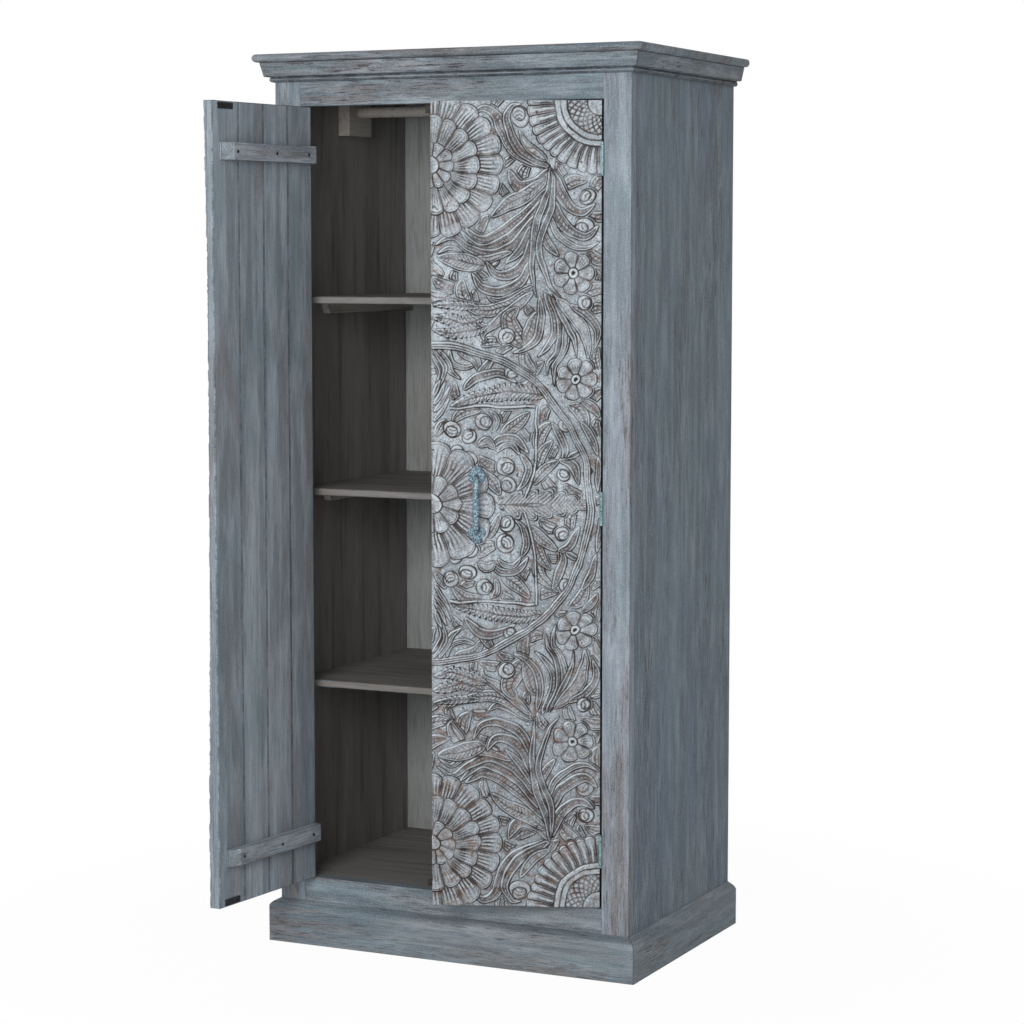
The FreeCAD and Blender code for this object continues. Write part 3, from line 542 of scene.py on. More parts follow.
# Leaves: kind, breadth, and the points of the middle line, in hundredths of the door's breadth
HUNDREDTHS = 100
END_LEAF_SHARES = (
    ("hatched", 7, (70, 39), (57, 33), (48, 27), (42, 17), (38, 8), (31, 4), (24, 7)),
    ("hatched", 4.9, (70, 39), (60, 34), (52, 28), (46, 19), (44, 10), (48, 3), (54, 2)),
    ("plain", 4.9, (69, 35), (62, 30), (56, 24), (52, 17)),
    ("hatched", 7, (70, 40), (63, 48), (52, 50), (46, 40)),
    ("veined", 7.5, (67, 46), (57, 54), (46, 60), (35, 68)),
    ("hatched", 7, (67, 52), (62, 60), (53, 69), (41, 77), (29, 80), (20, 73)),
    ("hatched", 5.8, (65, 58), (55, 73), (42, 82), (28, 85), (17, 74)),
    ("hatched", 4.9, (63, 65), (51, 82), (36, 89), (22, 85), (13, 78), (3, 84)),
    ("plain", 4.4, (48, 88), (33, 92), (20, 91), (12, 85), (4, 89)),
    ("veined", 8.7, (31, 96), (17, 93), (4, 91)),
    ("hatched", 4.4, (60, 73), (55, 84), (44, 95)),
    ("hatched", 5.8, (60, 80), (56, 93), (47, 101), (38, 101), (32, 93)),
    ("hatched", 5.2, (60, 92), (53, 105), (41, 111), (30, 109), (24, 100)),
    ("hatched", 5.8, (71, 41), (75, 53), (82, 61), (90, 64), (97, 60)),
    ("hatched", 5.8, (71, 57), (76, 69), (84, 76), (92, 78), (98, 73)),
    ("plain", 3.5, (69, 64), (74, 76), (82, 83), (91, 85), (99, 82)),
    ("plain", 3.5, (66, 70), (68, 80), (74, 89)),
    ("veined", 4.6, (65, 75), (70, 84), (75, 90)),
    ("strand", 3.8, (70, 39), (68, 54), (63, 69), (61, 83), (60, 98), (62, 114)),
    ("strand", 3.5, (71, 41), (71, 60), (67, 73), (64, 84), (66, 95), (70, 106), (77, 115)),
)
MIDDLE_LEAF_SHARES = (
    ("hatched", 5.5, (60, 129), (51, 123), (40, 120), (33, 123)),
    ("veined", 6.4, (60, 128), (46, 118), (33, 114), (17, 117), (10, 121)),
    ("plain", 5.2, (60, 125), (49, 116), (39, 108), (31, 102), (31, 97)),
    ("ferny", 7, (30, 110), (19, 106), (9, 109), (1, 111)),
    ("ferny", 6.4, (33, 106), (21, 102), (12, 100), (2, 103)),
    ("ferny", 4.6, (28, 116), (18, 116), (8, 117), (1, 118)),
    ("hatched", 9.3, (55, 93), (48, 102), (46, 110), (51, 116)),
    ("hatched", 8.7, (56, 94), (59, 102), (60, 107), (62, 113)),
    ("hatched", 4.4, (64, 122), (64, 108), (62, 98), (55, 92), (48, 89)),
    ("hatched", 4.1, (67, 124), (72, 111), (73, 102), (69, 94), (62, 87)),
    ("strand", 3.5, (69, 123), (76, 108), (75, 93), (69, 84), (68, 76)),
    ("plain", 3.8, (71, 123), (79, 106), (78, 92), (72, 82), (73, 70)),
    ("strand", 2.9, (71, 122), (80, 105), (84, 96), (85, 87)),
    ("plain", 6.4, (74, 121), (86, 108), (91, 96), (92, 86)),
    ("hatched", 4.6, (82, 117), (92, 111), (98, 102), (96, 91)),
    ("veined", 6.4, (82, 59), (88, 55), (93, 45)),
    ("veined", 4.6, (89, 62), (95, 57), (99, 51)),
    ("hatched", 4.1, (89, 49), (95, 40), (98, 29)),
    ("hatched", 3.2, (98, 28), (99, 17), (99, 7)),
    ("plain", 3.2, (10, 92), (12, 84), (20, 81), (29, 84)),
    ("plain", 3.5, (5, 92), (9, 85), (12, 78), (18, 73)),
    ("strand", 2.6, (1, 89), (6, 80), (4, 71), (1, 67)),
    ("strand", 2.6, (2, 92), (8, 82), (7, 74), (3, 66)),
    ("veined", 5.8, (15, 91), (26, 87), (30, 78)),
    ("veined", 4.4, (28, 76), (33, 81), (37, 87)),
    ("hatched", 4.9, (20, 67), (28, 75), (40, 77), (51, 71)),
    ("plain", 3.5, (58, 76), (56, 70), (46, 67)),
    ("ferny", 7.5, (67, 64), (50, 66), (31, 64), (12, 58)),
    ("plain", 2.6, (1, 55), (6, 60), (12, 69)),
    ("plain", 2.6, (1, 59), (5, 64), (9, 72)),
    ("plain", 2.6, (1, 49), (6, 55), (12, 63)),
    ("plain", 2.6, (1, 64), (3, 68), (6, 74)),
    ("veined", 5.8, (30, 56), (20, 55), (12, 49)),
    ("veined", 7, (42, 41), (50, 47), (59, 55)),
    ("plain", 3.8, (38, 44), (39, 51), (35, 56)),
    ("hatched", 4.4, (35, 33), (41, 39), (50, 39), (57, 30)),
    ("plain", 3.2, (39, 31), (44, 35), (49, 35), (53, 29)),
    ("veined", 6.4, (62, 31), (64, 41), (71, 49)),
    ("veined", 5.8, (62, 21), (65, 30), (71, 38)),
    ("hatched", 4.1, (71, 49), (75, 41), (79, 33), (77, 25)),
    ("veined", 5.8, (60, 12), (67, 21), (76, 27)),
    ("hatched", 4.6, (76, 27), (83, 24), (88, 13)),
    ("veined", 3.2, (80, 28), (85, 31), (89, 33)),
    ("hatched", 3.8, (53, 30), (57, 22), (55, 13), (50, 8)),
    ("feather", 15, (40, 0), (58, 0), (76, 0), (94, 0)),
    ("veined", 5.2, (33, 19), (37, 13), (41, 5)),
    ("plain", 5.2, (27, 35), (33, 37), (38, 33)),
    ("veined", 4.6, (2, 41), (5, 46), (9, 51)),
)
# Curls: place and radius
END_CURL_SHARES = (
    (0.525, 0.093, 0.061), (0.360, 0.929, 0.044), (0.923, 0.557, 0.044), (0.906, 0.726, 0.052),
)
MIDDLE_CURL_SHARES = (
    (0.441, 0.993, 0.049), (0.909, 1.181, 0.041), (0.476, 0.769, 0.038), (0.119, 0.450, 0.052),
    (0.218, 0.403, 0.044), (0.311, 0.488, 0.049), (0.151, 0.313, 0.041), (0.221, 0.267, 0.049),
    (0.444, 0.221, 0.055), (0.456, 0.110, 0.046), (0.787, 0.470, 0.041), (0.778, 0.174, 0.041),
    (0.923, 0.197, 0.026),
)
SQUARE_LINE_SHARES = (
    ((0.12, 0.575), (0.35, 0.58), (0.63, 0.585)),
    ((0.63, 0.585), (0.615, 0.40), (0.605, 0.20), (0.56, 0.04)),
)
SQUARE_BREADTH_SHARE = 0.016
# Round motifs: place, then inner radius, outer radius and count of each ring of petals
BLOSSOM_SHARES = (0.0, 0.372)
BLOSSOM_RING_SHARES = ((0.293, 0.424, 20), (0.139, 0.293, 17), (0.049, 0.139, 11))
BLOSSOM_EYE_SHARE = 0.049
FAN_LOBE_SHARES = (0.27, 0.43, 44)
FAN_RIBS = 2
FAN_BAND_SHARES = (0.27, 0.237)
FAN_NET_SHARE = 0.203
FAN_EYE_SHARE = 0.096
ROSETTE_RING_SHARES = ((0.185, 0.375, 13), (0.067, 0.185, 11))
ROSETTE_EYE_SHARE = 0.067
RING_SHARES = (0.921, 0.961)
RING_RIDGES = 3
RIDGE_FALL_SHARE = 0.3
END_FLOWER_SHARES = (0.842, 0.993)
MIDDLE_FLOWER_SHARES = (0.858, 0.742)
FLOWER_PETAL_SHARES = (0.026, 0.124, 7)
FLOWER_EYE_SHARE = 0.03
FLOWER_EYE_LEVEL = 0.8
FLOWER_HOLE_SHARE = 0.009
FLOWER_HOLE_LEVEL = 0.1


def groove(distance):
    """How deep a cut line is at a distance from its middle."""
    return np.exp(-((distance / CUT_SHARE) ** 2))


def stripes(value):
    """Distance from the middle of the nearest of many stripes, in stripes."""
    return np.abs(value - np.floor(value) - 0.5)


class Carving:
    """A grid over one door, with the height and the cut lines at each of its points.

    The motifs are drawn on places that wander a little, as a hand does.
    """

    def __init__(self, breadth, low, high, middle, seed):
        columns = round(breadth / GRID_STEP) + 1
        rows = round((high - low) / GRID_STEP) + 1
        self.draw = np.random.default_rng(seed)
        aside, level = np.meshgrid(np.linspace(0, breadth, columns), np.linspace(low, high, rows))
        self.shape = aside.shape
        self.aside = aside.ravel()
        self.level = level.ravel()
        self.inset = self.aside / breadth
        self.from_end = np.minimum(high - self.level, self.level - low) / breadth
        self.from_middle = np.abs(self.level - middle) / breadth
        for cell, amount in HAND_WANDER_SHARES:
            self.inset = self.inset + amount * self.wander(cell)
            shift = amount * self.wander(cell)
            self.from_end = self.from_end + shift
            self.from_middle = self.from_middle + shift
        self.height = np.full(aside.size, GROUND_LEVEL)
        self.cut = np.zeros(aside.size)
        self.gap = np.full(aside.size, 1.0)

    def wander(self, cell):
        """Smooth random values from -1 to 1 at the grid's points, drawn anew every few cells."""
        values = self.draw.uniform(-1, 1, [count // cell + 2 for count in self.shape])
        for axis, count in enumerate(self.shape):
            place = np.arange(count) / cell
            first = place.astype(int)
            share = (place - first).reshape((-1, 1) if axis == 0 else (1, -1))
            low = values.take(first, axis)
            high = values.take(first + 1, axis)
            values = low + (high - low) * share**2 * (3 - 2 * share)
        return values.ravel()

    def near(self, across, low, high):
        """The points inside a window, as indices."""
        inside = (self.inset > low[0]) & (self.inset < high[0]) & (across > low[1]) & (across < high[1])
        return np.flatnonzero(inside)

    def around(self, across, centre, reach):
        """Points about a centre, with their distance and angle."""
        centre = np.array(centre)
        chosen = self.near(across, centre - reach - NEAR_SHARE, centre + reach + NEAR_SHARE)
        aside = self.inset[chosen] - centre[0]
        along = across[chosen] - centre[1]
        return chosen, np.hypot(aside, along), np.arctan2(along, aside)

    def lay(self, chosen, edge, height, cut, under=False):
        """Lays a motif over or under what is there; edge is the distance outside its outline."""
        if under:
            edge = np.maximum(edge, ECHO_SHARE - self.gap[chosen])
        inside = edge < 0
        self.height[chosen[inside]] = height[inside]
        self.cut[chosen[inside]] = cut[inside]
        self.cut[chosen] = np.maximum(self.cut[chosen], groove(edge))
        self.gap[chosen] = np.minimum(self.gap[chosen], edge)


def smooth_line(points):
    """A smooth line through a few points."""
    points = np.array(points)
    padded = np.vstack([2 * points[0] - points[1], points, 2 * points[-1] - points[-2]])
    place = np.linspace(0, len(points) - 1, SPINE_STEPS)
    first = np.minimum(place.astype(int), len(points) - 2)
    t = (place - first)[:, None]
    before, start, end, after = (padded[first + i] for i in range(4))
    bend = 2 * before - 5 * start + 4 * end - after
    twist = 3 * start - before - 3 * end + after
    return (2 * start + (end - before) * t + bend * t**2 + twist * t**3) / 2


def leaf_lines(kind, edge, travel, aside, half):
    """The lines cut inside a leaf: along its rim, and its hatching, veins or middle line."""
    if kind == "line":
        return np.zeros(len(edge))
    side = np.abs(aside)
    core = edge < -RIM_SHARE
    lines = [LINE_SHARES["rim"] * groove(edge + RIM_SHARE)]
    if kind == "hatched":
        bars = stripes((travel + HATCH_LEAN_SHARE * aside) / HATCH_SHARE)
        lines.append(core * LINE_SHARES["bar"] * groove(HATCH_SHARE * bars))
        lines.append(core * LINE_SHARES["inner"] * groove(side - half / 3))
    if kind in VEINED_KINDS:
        veins = stripes((travel - side) / HATCH_SHARE)
        lines.append(core * LINE_SHARES["vein"] * groove(HATCH_SHARE * veins))
        lines.append(LINE_SHARES["midrib"] * groove(aside))
    if kind == "strand":
        lines.append(LINE_SHARES["strand"] * groove(aside))
    return np.max(lines, axis=0)


def draw_leaf(carving, across, kind, breadth, points, under=False):
    """A leaf along a smooth line, with the lines of its kind."""
    breadth = LEAF_WIDENING * breadth
    spine = smooth_line(points)
    ahead = np.gradient(spine, axis=0)
    pace = np.linalg.norm(ahead, axis=1)
    ahead = ahead / pace[:, None]
    length = pace.sum()
    reached = np.cumsum(pace) - pace / 2
    reach = breadth / 2 + NEAR_SHARE
    chosen = carving.near(across, spine.min(0) - reach, spine.max(0) + reach)
    place = np.stack([carving.inset[chosen], across[chosen]], 1)
    nearest = np.argmin(((place[:, None] - spine[None]) ** 2).sum(2), axis=1)
    offset = place - spine[nearest]
    along = (offset * ahead[nearest]).sum(1)
    aside = offset[:, 0] * ahead[nearest, 1] - offset[:, 1] * ahead[nearest, 0]
    side = np.abs(aside)
    travel = reached[nearest] + along
    share = np.clip(travel / length, 0, 1)
    half = breadth / 2 * np.sin(math.pi * share**LEAF_FULLNESS) ** LEAF_BLUNTNESS
    if kind == "line":
        half = np.full(len(chosen), SQUARE_BREADTH_SHARE / 2)
    if kind in NOTCH_SHARES:
        depth, spacing, lean = NOTCH_SHARES[kind]
        notch = 2 * stripes((travel + lean * side) / (spacing * HATCH_SHARE))
        half = half * (1 - depth * notch**2)
    edge = side - half
    outside = (travel < 0) | (travel > length)
    edge[outside] = np.hypot(along, aside)[outside]
    rim = np.exp(-(((edge + RIM_SHARE / 2) / RIM_SHARE) ** 2))
    level = HATCHED_LEVEL if kind == "hatched" else LEAF_LEVEL
    height = level + (1 - level) * rim
    carving.lay(chosen, edge, height, leaf_lines(kind, edge, travel, aside, half), under)


def draw_leaves(carving, across, rows):
    """The leaves of a table, one over the other."""
    for kind, breadth, *points in rows:
        draw_leaf(carving, across, kind, breadth / HUNDREDTHS, np.array(points) / HUNDREDTHS)


def draw_curl(carving, across, inset, along, radius):
    """The curled end of a scroll: a round boss with a striped one inside it that touches its side."""
    chosen, distance, angle = carving.around(across, (inset, along), radius)
    facing = carving.draw.uniform(0, TWO_PI)
    aside = distance * np.cos(angle - facing)
    upward = distance * np.sin(angle - facing)
    boss = np.hypot(aside - CURL_OFFSET_SHARE * radius, upward) - CURL_INNER_SHARE * radius
    lines = groove(CURL_LINE_SHARE * stripes((aside + upward**2 / radius) / CURL_LINE_SHARE))
    cut = np.maximum(LINE_SHARES["boss"] * groove(boss), (boss < 0) * LINE_SHARES["curl"] * lines)
    height = 1 - CURL_FALL_SHARE * (distance / radius) ** 2
    carving.lay(chosen, distance - radius, height, cut)


def draw_petals(carving, across, centre, inner, outer, count, ribs=PETAL_RIBS):
    """A ring of round-ended petals with ribs along them."""
    chosen, distance, angle = carving.around(across, centre, outer)
    swing = angle / TWO_PI * count
    swing = swing - np.round(swing)
    dip = PETAL_DIP_SHARE * TWO_PI * outer / count
    edge = distance - (outer - dip * np.abs(2 * swing) ** PETAL_ROUNDNESS)
    breadth = TWO_PI * distance / count
    beside = (0.5 - np.abs(swing)) * breadth
    rising = np.clip((distance - inner) / (outer - inner), 0, 1)
    ripple = stripes(swing * ribs + ribs % 2 / 2) / ribs * breadth
    room = np.clip(breadth / ribs / (RIB_ROOM * CUT_SHARE), 0, 1) ** 2
    fade = np.clip(RIB_FADE * (1 - rising), 0, 1) * (edge < -RIM_SHARE)
    cut = np.max([
        groove(beside),
        LINE_SHARES["rib"] * groove(RIB_WIDENING * ripple) * room * fade,
        LINE_SHARES["petal"] * groove(edge + RIM_SHARE),
    ], axis=0)
    height = PETAL_LEVEL + (1 - PETAL_LEVEL) * np.cos(math.pi * swing) * np.sqrt(rising)
    carving.lay(chosen, edge, height, cut)


def draw_disc(carving, across, centre, radius, height=DISC_LEVEL, cut=0.0):
    """A plain round boss."""
    chosen, distance, _ = carving.around(across, centre, radius)
    dome = height + (1 - height) * (1 - (distance / radius) ** 2)
    carving.lay(chosen, distance - radius, dome, np.full(len(chosen), cut))


def draw_net(carving, across, centre, radius):
    """A disc cut with a net of seeds."""
    chosen, distance, angle = carving.around(across, centre, radius)
    rings = NET_RINGS * distance / radius
    spokes = NET_SPOKES * angle / TWO_PI
    nearest = np.minimum(stripes(rings + spokes), stripes(rings - spokes))
    cut = LINE_SHARES["net"] * groove(NET_CELL_SHARE * nearest)
    carving.lay(chosen, distance - radius, np.full(len(chosen), NET_LEVEL), cut)


def draw_ring(carving, across, inner, outer):
    """A band of round ridges about the middle of the free edge."""
    chosen, distance, _ = carving.around(across, (0, 0), outer)
    breadth = outer - inner
    edge = np.abs(distance - (inner + outer) / 2) - breadth / 2
    ridge = stripes((distance - inner) / breadth * RING_RIDGES + 0.5)
    cut = LINE_SHARES["ridge"] * groove(breadth / RING_RIDGES * ridge)
    carving.lay(chosen, edge, 1 - RIDGE_FALL_SHARE * (1 - 2 * ridge) ** 2, cut)


def draw_flower(carving, across, centre):
    """A round flower with one ring of petals and an eyelet."""
    draw_petals(carving, across, centre, *FLOWER_PETAL_SHARES)
    draw_disc(carving, across, centre, FLOWER_EYE_SHARE, FLOWER_EYE_LEVEL)
    draw_disc(carving, across, centre, FLOWER_HOLE_SHARE, FLOWER_HOLE_LEVEL, 1.0)


def draw_ends(carving):
    """The sprays, the half blossom and the fan near the door's two ends."""
    across = carving.from_end
    for inset, along, radius in END_CURL_SHARES:
        draw_curl(carving, across, inset, along, radius)
    draw_leaves(carving, across, END_LEAF_SHARES)
    for ring in BLOSSOM_RING_SHARES:
        draw_petals(carving, across, BLOSSOM_SHARES, *ring)
    draw_disc(carving, across, BLOSSOM_SHARES, BLOSSOM_EYE_SHARE)
    corner = (1.0, 0.0)
    draw_petals(carving, across, corner, *FAN_LOBE_SHARES, FAN_RIBS)
    for radius in FAN_BAND_SHARES:
        draw_disc(carving, across, corner, radius)
    draw_net(carving, across, corner, FAN_NET_SHARE)
    draw_disc(carving, across, corner, FAN_EYE_SHARE)
    draw_flower(carving, across, END_FLOWER_SHARES)


def draw_middle(carving):
    """The sprays, the ring, the square and the rosette about the door's middle."""
    across = carving.from_middle
    draw_leaves(carving, across, MIDDLE_LEAF_SHARES)
    for points in SQUARE_LINE_SHARES:
        draw_leaf(carving, across, "line", SQUARE_BREADTH_SHARE, points)
    for inset, along, radius in MIDDLE_CURL_SHARES:
        draw_curl(carving, across, inset, along, radius)
    draw_ring(carving, across, *RING_SHARES)
    for ring in ROSETTE_RING_SHARES:
        draw_petals(carving, across, (0, 0), *ring)
    draw_disc(carving, across, (0, 0), ROSETTE_EYE_SHARE)
    draw_flower(carving, across, MIDDLE_FLOWER_SHARES)


def fill_gaps(carving, breadth):
    """Small leaves in what is left of the ground, the widest gap first."""
    across = carving.level / breadth
    middle = (across.min() + across.max()) / 2
    border = np.minimum(carving.inset, 1 - carving.inset)
    border = np.minimum(border, across.max() - middle - np.abs(across - middle))
    kinds = ("veined", "hatched", "strand")
    for turn in range(FILL_LEAVES):
        room = np.minimum(np.minimum(carving.gap, border + FILL_LEAST_SHARE), NEAR_SHARE)
        spot = np.argmax(room)
        if room[spot] < FILL_LEAST_SHARE:
            break
        angle = carving.draw.uniform(0, math.pi)
        ahead = FILL_LENGTH * room[spot] * np.array((math.cos(angle), math.sin(angle)))
        bend = FILL_BEND * np.array((-ahead[1], ahead[0]))
        centre = np.array((carving.inset[spot], across[spot]))
        points = (centre - ahead, centre + bend, centre + ahead)
        draw_leaf(carving, across, kinds[turn % len(kinds)], FILL_BREADTH * room[spot], points, True)


def soften(grid, passes):
    """A grid of numbers blurred over its neighbours."""
    for _ in range(passes):
        wide = np.pad(grid, 1, mode="edge")
        grid = (wide[:-2, 1:-1] + 2 * wide[1:-1, 1:-1] + wide[2:, 1:-1]) / 4
        wide = np.pad(grid, 1, mode="edge")
        grid = (wide[1:-1, :-2] + 2 * wide[1:-1, 1:-1] + wide[1:-1, 2:]) / 4
    return grid


# The carved panels

RELIEF = 0.004
CUT_DEPTH = 0.002
SEAT_REACH = 0.022
STIPPLE_CELL = 2
STIPPLE_LEVEL = 0.55
NICK_LEVEL = 0.72
PRESSURE_CELL = 11
PRESSURE_SHARE = 0.26
ROUGH_CELL = 7
ROUGH_SHARE = 0.12
EDGE_ROLL = 0.0085
EDGE_ROLL_REACH = 0.02
EDGE_ROLL_SHARES = ((0.0, 0.0), (0.12, 0.05), (0.3, 0.5), (0.55, 1.0), (0.8, 1.0), (0.92, 0.7), (1.0, 0.4))
CREST_PASSES = 14
CREST_REACH = 0.0009
# How much the sideways slope counts in the slope that the painted highlight and painted shade follow
SIDEWAYS_SHARE = 0.5
PANEL_SHARP_ANGLE = math.radians(75)
UV_CELLS = 2
UV_CELL_SHARE = 0.49
UV_STRIP_SHARE = 0.985


def carved_heights(carving, seats):
    """The depth of each point behind the highest plane, and its cut lines, after the last touches."""
    cut = carving.cut
    ground = carving.gap > 0
    cut[ground] = np.maximum(cut, LINE_SHARES["echo"] * groove(carving.gap - ECHO_SHARE))[ground]
    stipple = (carving.gap > STIPPLE_SHARE) & (carving.wander(STIPPLE_CELL) > STIPPLE_LEVEL)
    nicks = carving.wander(STIPPLE_CELL) > NICK_LEVEL
    cut[stipple | nicks] = np.maximum(cut, LINE_SHARES["nick"])[stipple | nicks]
    cut *= 1 - PRESSURE_SHARE + PRESSURE_SHARE * carving.wander(PRESSURE_CELL)
    height = carving.height + ROUGH_SHARE * carving.wander(ROUGH_CELL)
    for aside, level in seats:
        away = np.hypot(carving.aside - aside, carving.level - level)
        height[away < SEAT_REACH] = 1.0
        cut[away < SEAT_REACH / 2] = 0.0
    height = soften(np.clip(height, 0, 1).reshape(carving.shape), 1)
    cut = cut.reshape(carving.shape)
    up = np.linspace(0, 1, carving.shape[0])
    fullness = np.interp(up, *zip(*EDGE_ROLL_SHARES))[:, None]
    near = np.clip(1 - carving.aside.reshape(carving.shape) / EDGE_ROLL_REACH, 0, 1)
    roll = EDGE_ROLL * fullness * near**2
    return RELIEF * (1 - height) + CUT_DEPTH * cut + roll, cut


def rim_of(grid):
    """The indices round the border of a grid, in order."""
    return np.concatenate([grid[0, :-1], grid[:-1, -1], grid[-1, :0:-1], grid[:0:-1, 0]])


def panel_faces(grid, rim, flip):
    """Faces of the carved front, its four walls and its flat back."""
    front = np.stack([grid[:-1, :-1], grid[:-1, 1:], grid[1:, 1:], grid[1:, :-1]], -1).reshape(-1, 4)
    back = grid.size + np.arange(len(rim))
    walls = np.stack([np.roll(rim, -1), rim, back, np.roll(back, -1)], -1)
    quads = np.concatenate([front, walls])
    faces = [*quads.tolist(), back[::-1].tolist()]
    return [face[::-1] for face in faces] if flip else faces


def bake_places(mesh, rim, rows, columns):
    """A flat layout for the panel: its front in four cells and its walls in a strip."""
    layout = mesh.uv_layers.new(name="OFBake")
    corners = np.zeros(len(mesh.loops), int)
    mesh.loops.foreach_get("vertex_index", corners)
    starts = np.zeros(len(mesh.polygons), int)
    mesh.polygons.foreach_get("loop_start", starts)
    face = np.repeat(np.arange(len(mesh.polygons)), np.diff(np.append(starts, len(corners))))
    walls = face >= (rows - 1) * (columns - 1)
    row = np.where(walls, 0, face // (columns - 1))
    cells = UV_CELLS * UV_CELLS
    cell = np.minimum(row * cells // (rows - 1), cells - 1)
    first = np.ceil(cell * (rows - 1) / cells)
    last = np.ceil((cell + 1) * (rows - 1) / cells)
    vertex = np.minimum(corners, rows * columns - 1)
    along = vertex % columns / (columns - 1)
    up = (vertex // columns - first) / (last - first)
    places = np.stack([cell % UV_CELLS / UV_CELLS + UV_CELL_SHARE * along,
                       cell // UV_CELLS / UV_CELLS + UV_CELL_SHARE * up], 1)
    order = np.zeros(rows * columns + len(rim))
    order[rim] = np.arange(len(rim)) / len(rim)
    order[rows * columns:] = np.arange(len(rim)) / len(rim)
    deep = corners >= rows * columns
    places[walls, 0] = order[corners[walls]]
    places[walls, 1] = np.where(deep, 1.0, UV_STRIP_SHARE)[walls]
    layout.data.foreach_set("uv", places.astype(np.float32).ravel())


def carve_door(side, low, high):
    """The drawing of one door's carving, its depth and its cut lines, with flat seats for the handle."""
    handle_low, handle_high = local_box(side + "_door_handle", DOOR[side])
    middle = (handle_low.z + handle_high.z) / 2
    foot_rise = (handle_high.z - handle_low.z) / 2 - (handle_high.x - handle_low.x) / 2
    free_edge = max(abs(low.x), abs(high.x))
    handle_inset = free_edge - abs(handle_low.x + handle_high.x) / 2
    breadth = high.x - low.x
    carving = Carving(breadth, low.z, high.z, middle, CARVE_SEED + OUTWARD[side])
    draw_ends(carving)
    draw_middle(carving)
    fill_gaps(carving, breadth)
    seats = [(handle_inset, middle + turn * foot_rise) for turn in (-1, 1)]
    return carving, *carved_heights(carving, seats)


def panel_mesh(name, side):
    """One door's carved panel as a mesh, with the marks that its material reads."""
    low, high = local_box(side + "_door_carved_panel", DOOR[side])
    carving, depth, cut = carve_door(side, low, high)
    rows, columns = carving.shape
    aside = OUTWARD[side] * (max(abs(low.x), abs(high.x)) - carving.aside)
    front = np.stack([aside, low.y + depth.ravel(), carving.level], 1)
    grid = np.arange(rows * columns).reshape(rows, columns)
    rim = rim_of(grid)
    back = front[rim].copy()
    back[:, 1] = high.y
    mesh = bpy.data.meshes.new(name)
    mesh.from_pydata(np.concatenate([front, back]).tolist(), [], panel_faces(grid, rim, side == "left"))
    mesh.polygons.foreach_set("use_smooth", np.ones(len(mesh.polygons), bool))
    mesh.set_sharp_from_angle(angle=PANEL_SHARP_ANGLE)
    # The slope up the panel, and a little sideways, that the painted highlight and painted shade of the
    # carving follow
    slope = np.gradient(depth, axis=0) - SIDEWAYS_SHARE * np.gradient(depth, axis=1)
    marks = {
        "cut": cut,
        "tilt": slope / GRID_STEP,
        "sunk": np.where(carving.gap > 0, 0.0, 1 - carving.height),
        # Ridges, where wash is caught and a highlight is painted
        "crest": np.clip((soften(depth, CREST_PASSES) - depth) / CREST_REACH, 0, 1),
    }
    for mark, values in marks.items():
        stored = mesh.attributes.new(mark, "FLOAT", "POINT")
        spread = np.concatenate([values.ravel(), np.zeros(len(rim))])
        stored.data.foreach_set("value", spread.astype(np.float32))
    bake_places(mesh, rim, rows, columns)
    mesh.materials.append(CARVED_WOOD)
    mesh.materials.append(PLANK_WOOD[side])
    walls = np.arange(len(mesh.polygons)) >= (rows - 1) * (columns - 1)
    mesh.polygons.foreach_set("material_index", walls.astype(np.int32))
    return mesh


def carved_panel(side):
    """One door's carved front, on the place of its plain panel."""
    node = side + "_door_carved_panel"
    panel = add_object(node + "_carving", panel_mesh(node + "_carving", side))
    panel.matrix_world = DOOR[side]
    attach(panel, side + "_door")
    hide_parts(node)


for side in SIDES:
    carved_panel(side)


# Handles and screws

ROUND_STEPS = 24
PIECE_SHARP_ANGLE = math.radians(50)
GRIP_PATH_SHARES = (
    (-1.0, 0.06), (-0.97, 0.4), (-0.84, 0.84), (-0.55, 0.98), (0.0, 1.0),
    (0.55, 0.98), (0.84, 0.84), (0.97, 0.4), (1.0, 0.06),
)
GRIP_STEPS = 56
GRIP_WIDTH = 0.0135
GRIP_THICKNESS = 0.0085
GRIP_END_SHARE = 0.62
GRIP_SWELL = 0.8
FOOT_THICKNESS = 0.003
FOOT_LOBES = 3
FOOT_DIP_SHARE = 0.4
FOOT_ROUNDNESS = 0.6
FOOT_RING_SHARES = ((1.0, 0.0), (1.0, 0.45), (0.93, 0.85), (0.8, 1.0), (0.3, 1.1), (0.06, 1.12))
SCREW_RADIUS = 0.0036
SCREW_RISE = 0.0013
SCREW_RING_SHARES = ((1.0, -0.4), (1.0, 0.3), (0.9, 0.7), (0.65, 0.95), (0.35, 1.05), (0.05, 1.1))
SCREW_PLACE_SHARES = (0.09, 0.45, 0.88)
SLOT_SHARE = 0.2
SLOT_START_SHARE = 0.5
SLOT_DEPTH_SHARE = 0.7


def add_rings(bm, rings):
    """A closed skin through rings of points, with a cap at each end."""
    made = [[bm.verts.new(point) for point in ring] for ring in rings]
    count = len(made[0])
    for first, second in zip(made, made[1:]):
        for i in range(count):
            following = (i + 1) % count
            bm.faces.new((first[i], first[following], second[following], second[i]))
    bm.faces.new(made[0][::-1])
    bm.faces.new(made[-1])


def new_piece(name, bm, material, side):
    """A finished mesh as a piece that rides on a door."""
    bmesh.ops.recalc_face_normals(bm, faces=bm.faces)
    mesh = bpy.data.meshes.new(name)
    bm.to_mesh(mesh)
    bm.free()
    mesh.polygons.foreach_set("use_smooth", np.ones(len(mesh.polygons), bool))
    mesh.set_sharp_from_angle(angle=PIECE_SHARP_ANGLE)
    mesh.materials.append(material)
    piece = add_object(name, mesh)
    piece.matrix_world = DOOR[side]
    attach(piece, side + "_door")
    return piece


